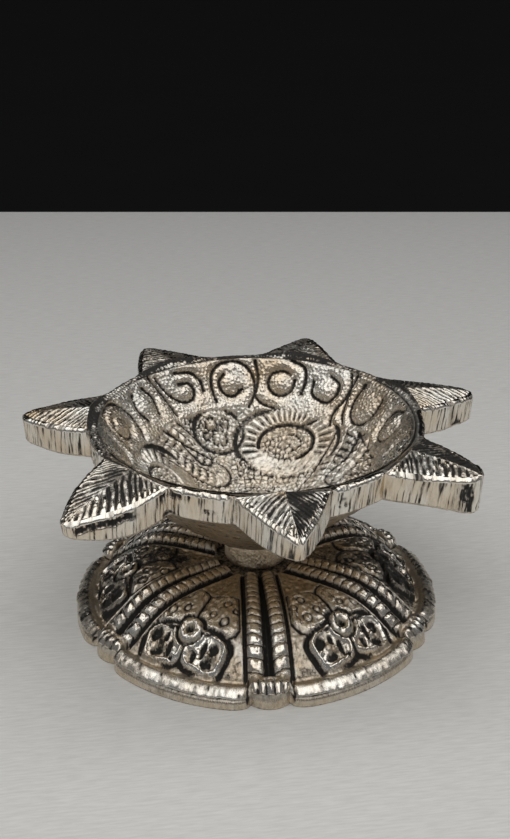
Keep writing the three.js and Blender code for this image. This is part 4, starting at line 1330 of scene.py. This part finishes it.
def add_camera():
    camera = bpy.data.objects.new("camera", bpy.data.cameras.new("camera"))
    camera.data.lens = camera_lens
    camera.data.sensor_width = 36
    camera.data.clip_start = 0.01
    camera.location = np.array(camera_place) * 0.001
    camera.rotation_euler = (math.radians(camera_pitch), 0, math.radians(camera_heading))
    bpy.context.scene.collection.objects.link(camera)
    bpy.context.scene.camera = camera


def add_plane(name, corners, material):
    mesh = bpy.data.meshes.new(name)
    mesh.from_pydata([tuple(np.array(corner) * 0.001) for corner in corners], [], [(0, 1, 2, 3)])
    mesh.materials.append(material)
    plane = bpy.data.objects.new(name, mesh)
    bpy.context.scene.collection.objects.link(plane)
    return plane


def add_stage():
    """A pale table top that ends behind the diya, and a dark backdrop beyond it"""
    heading = math.radians(-camera_heading)
    ahead = np.array([math.sin(heading), math.cos(heading), 0])
    aside = np.array([ahead[1], -ahead[0], 0])
    foot_of_camera = np.array([camera_place[0], camera_place[1], 0])
    far = foot_of_camera + ahead * floor_back
    near = foot_of_camera - ahead * floor_front
    side = aside * floor_half_width
    table = plain("table", (0.76, 0.76, 0.745), 0.55, 0.2, 2600)
    add_plane("floor", [near - side, near + side, far + side, far - side], table)
    behind = far + ahead * backdrop_gap + np.array([0, 0, backdrop_low])
    side = aside * backdrop_half_width
    up = np.array([0, 0, backdrop_height])
    cloth = plain("dark cloth", (0.008, 0.008, 0.009), 0.9, 0.2, 60)
    add_plane("backdrop", [behind - side, behind + side, behind + side + up, behind - side + up], cloth)


def add_lamp(name, place, target, size, power, tint=(1, 1, 1)):
    lamp = bpy.data.lights.new(name, "AREA")
    lamp.shape = "RECTANGLE"
    lamp.size = size[0] * 0.001
    lamp.size_y = size[1] * 0.001
    lamp.energy = power
    lamp.color = tint
    holder = bpy.data.objects.new(name, lamp)
    place = np.array(place, float) * 0.001
    holder.location = place
    aim = np.array(target, float) * 0.001 - place
    yaw = math.atan2(aim[1], aim[0])
    tilt = math.acos(-aim[2] / np.linalg.norm(aim))
    holder.rotation_euler = (0, -tilt, yaw + math.pi)
    bpy.context.scene.collection.objects.link(holder)


def add_light():
    add_lamp("overhead", (-40, -395, 680), (0, -40, 0), (1300, 1060), 5.2, (1, 0.985, 0.96))
    add_lamp("window", (-420, -520, 330), (0, 0, 20), (200, 200), 3.3, (0.97, 0.98, 1))
    add_lamp("side", (520, -160, 260), (0, 0, 20), (140, 200), 1.7, (1, 0.97, 0.93))
    add_lamp("fill", (-120, -700, 150), (0, 0, 12), (420, 200), 2.8, (1, 0.99, 0.97))
    world = bpy.data.worlds.new("room")
    world.use_nodes = True
    world.node_tree.nodes["Background"].inputs["Color"].default_value = (0.16, 0.16, 0.165, 1)
    bpy.context.scene.world = world


add_camera()
add_stage()
add_light()

silver = metal("antique silver", (0.90, 0.88, 0.82), (0.70, 0.55, 0.37), (0.26, 0.22, 0.17),
               (0.018, 0.015, 0.012))
brass = metal("worn brass", (1.0, 0.93, 0.78), (0.98, 0.82, 0.60), (0.74, 0.58, 0.40), (0.03, 0.022, 0.014),
              (0.35, 0.6), 1.0)
steel = metal("zinc steel", (0.62, 0.63, 0.65), (0.55, 0.54, 0.50), (0.4, 0.39, 0.37), (0.10, 0.09, 0.08),
              (0.25, 0.4), 0.3)

petals = [Petal(number) for number in range(petal_count)]
flanks = [(Flank(petal, -1), Flank(petal, 1)) for petal in petals]
star = Casting("star_and_bowl")
star.add(0.32, bowl_inside())
star.add(0.03, rim_band())
star.add(0.1, *[flank.sheet() for both in flanks for flank in both])
star.add(0.2, star_wall(Outline(petals, flanks)))
star.add(0.25, bowl_outside())
star.make("star_bowl", silver)

foot_angle = np.linspace(0, full_turn, rib_count * foot_columns + 1)
dome = foot_dome(foot_angle)
foot = Casting("foot_with_ropes")
foot.add(0.55, dome)
foot.add(0.2, foot_rim(foot_angle, dome))
foot.add(0.25, foot_hollow())
foot.make("domed_foot", silver, foot_turn)

for name, sheet, replaced, slot, material in (
        ("hammered_collar", collar_sheet(), "stem_collar", "collar_brass", brass),
        ("plain_washer", washer_sheet(), "washer", "fixing_steel", steel),
        ("slotted_screw", screw_sheet(), "fixing_screw", "fixing_steel", steel)):
    piece = Casting(name)
    piece.add(1, sheet)
    piece.make(replaced, material)

scene = bpy.context.scene
scene.view_settings.view_transform = "Standard"

bpy.context.view_layer.update()
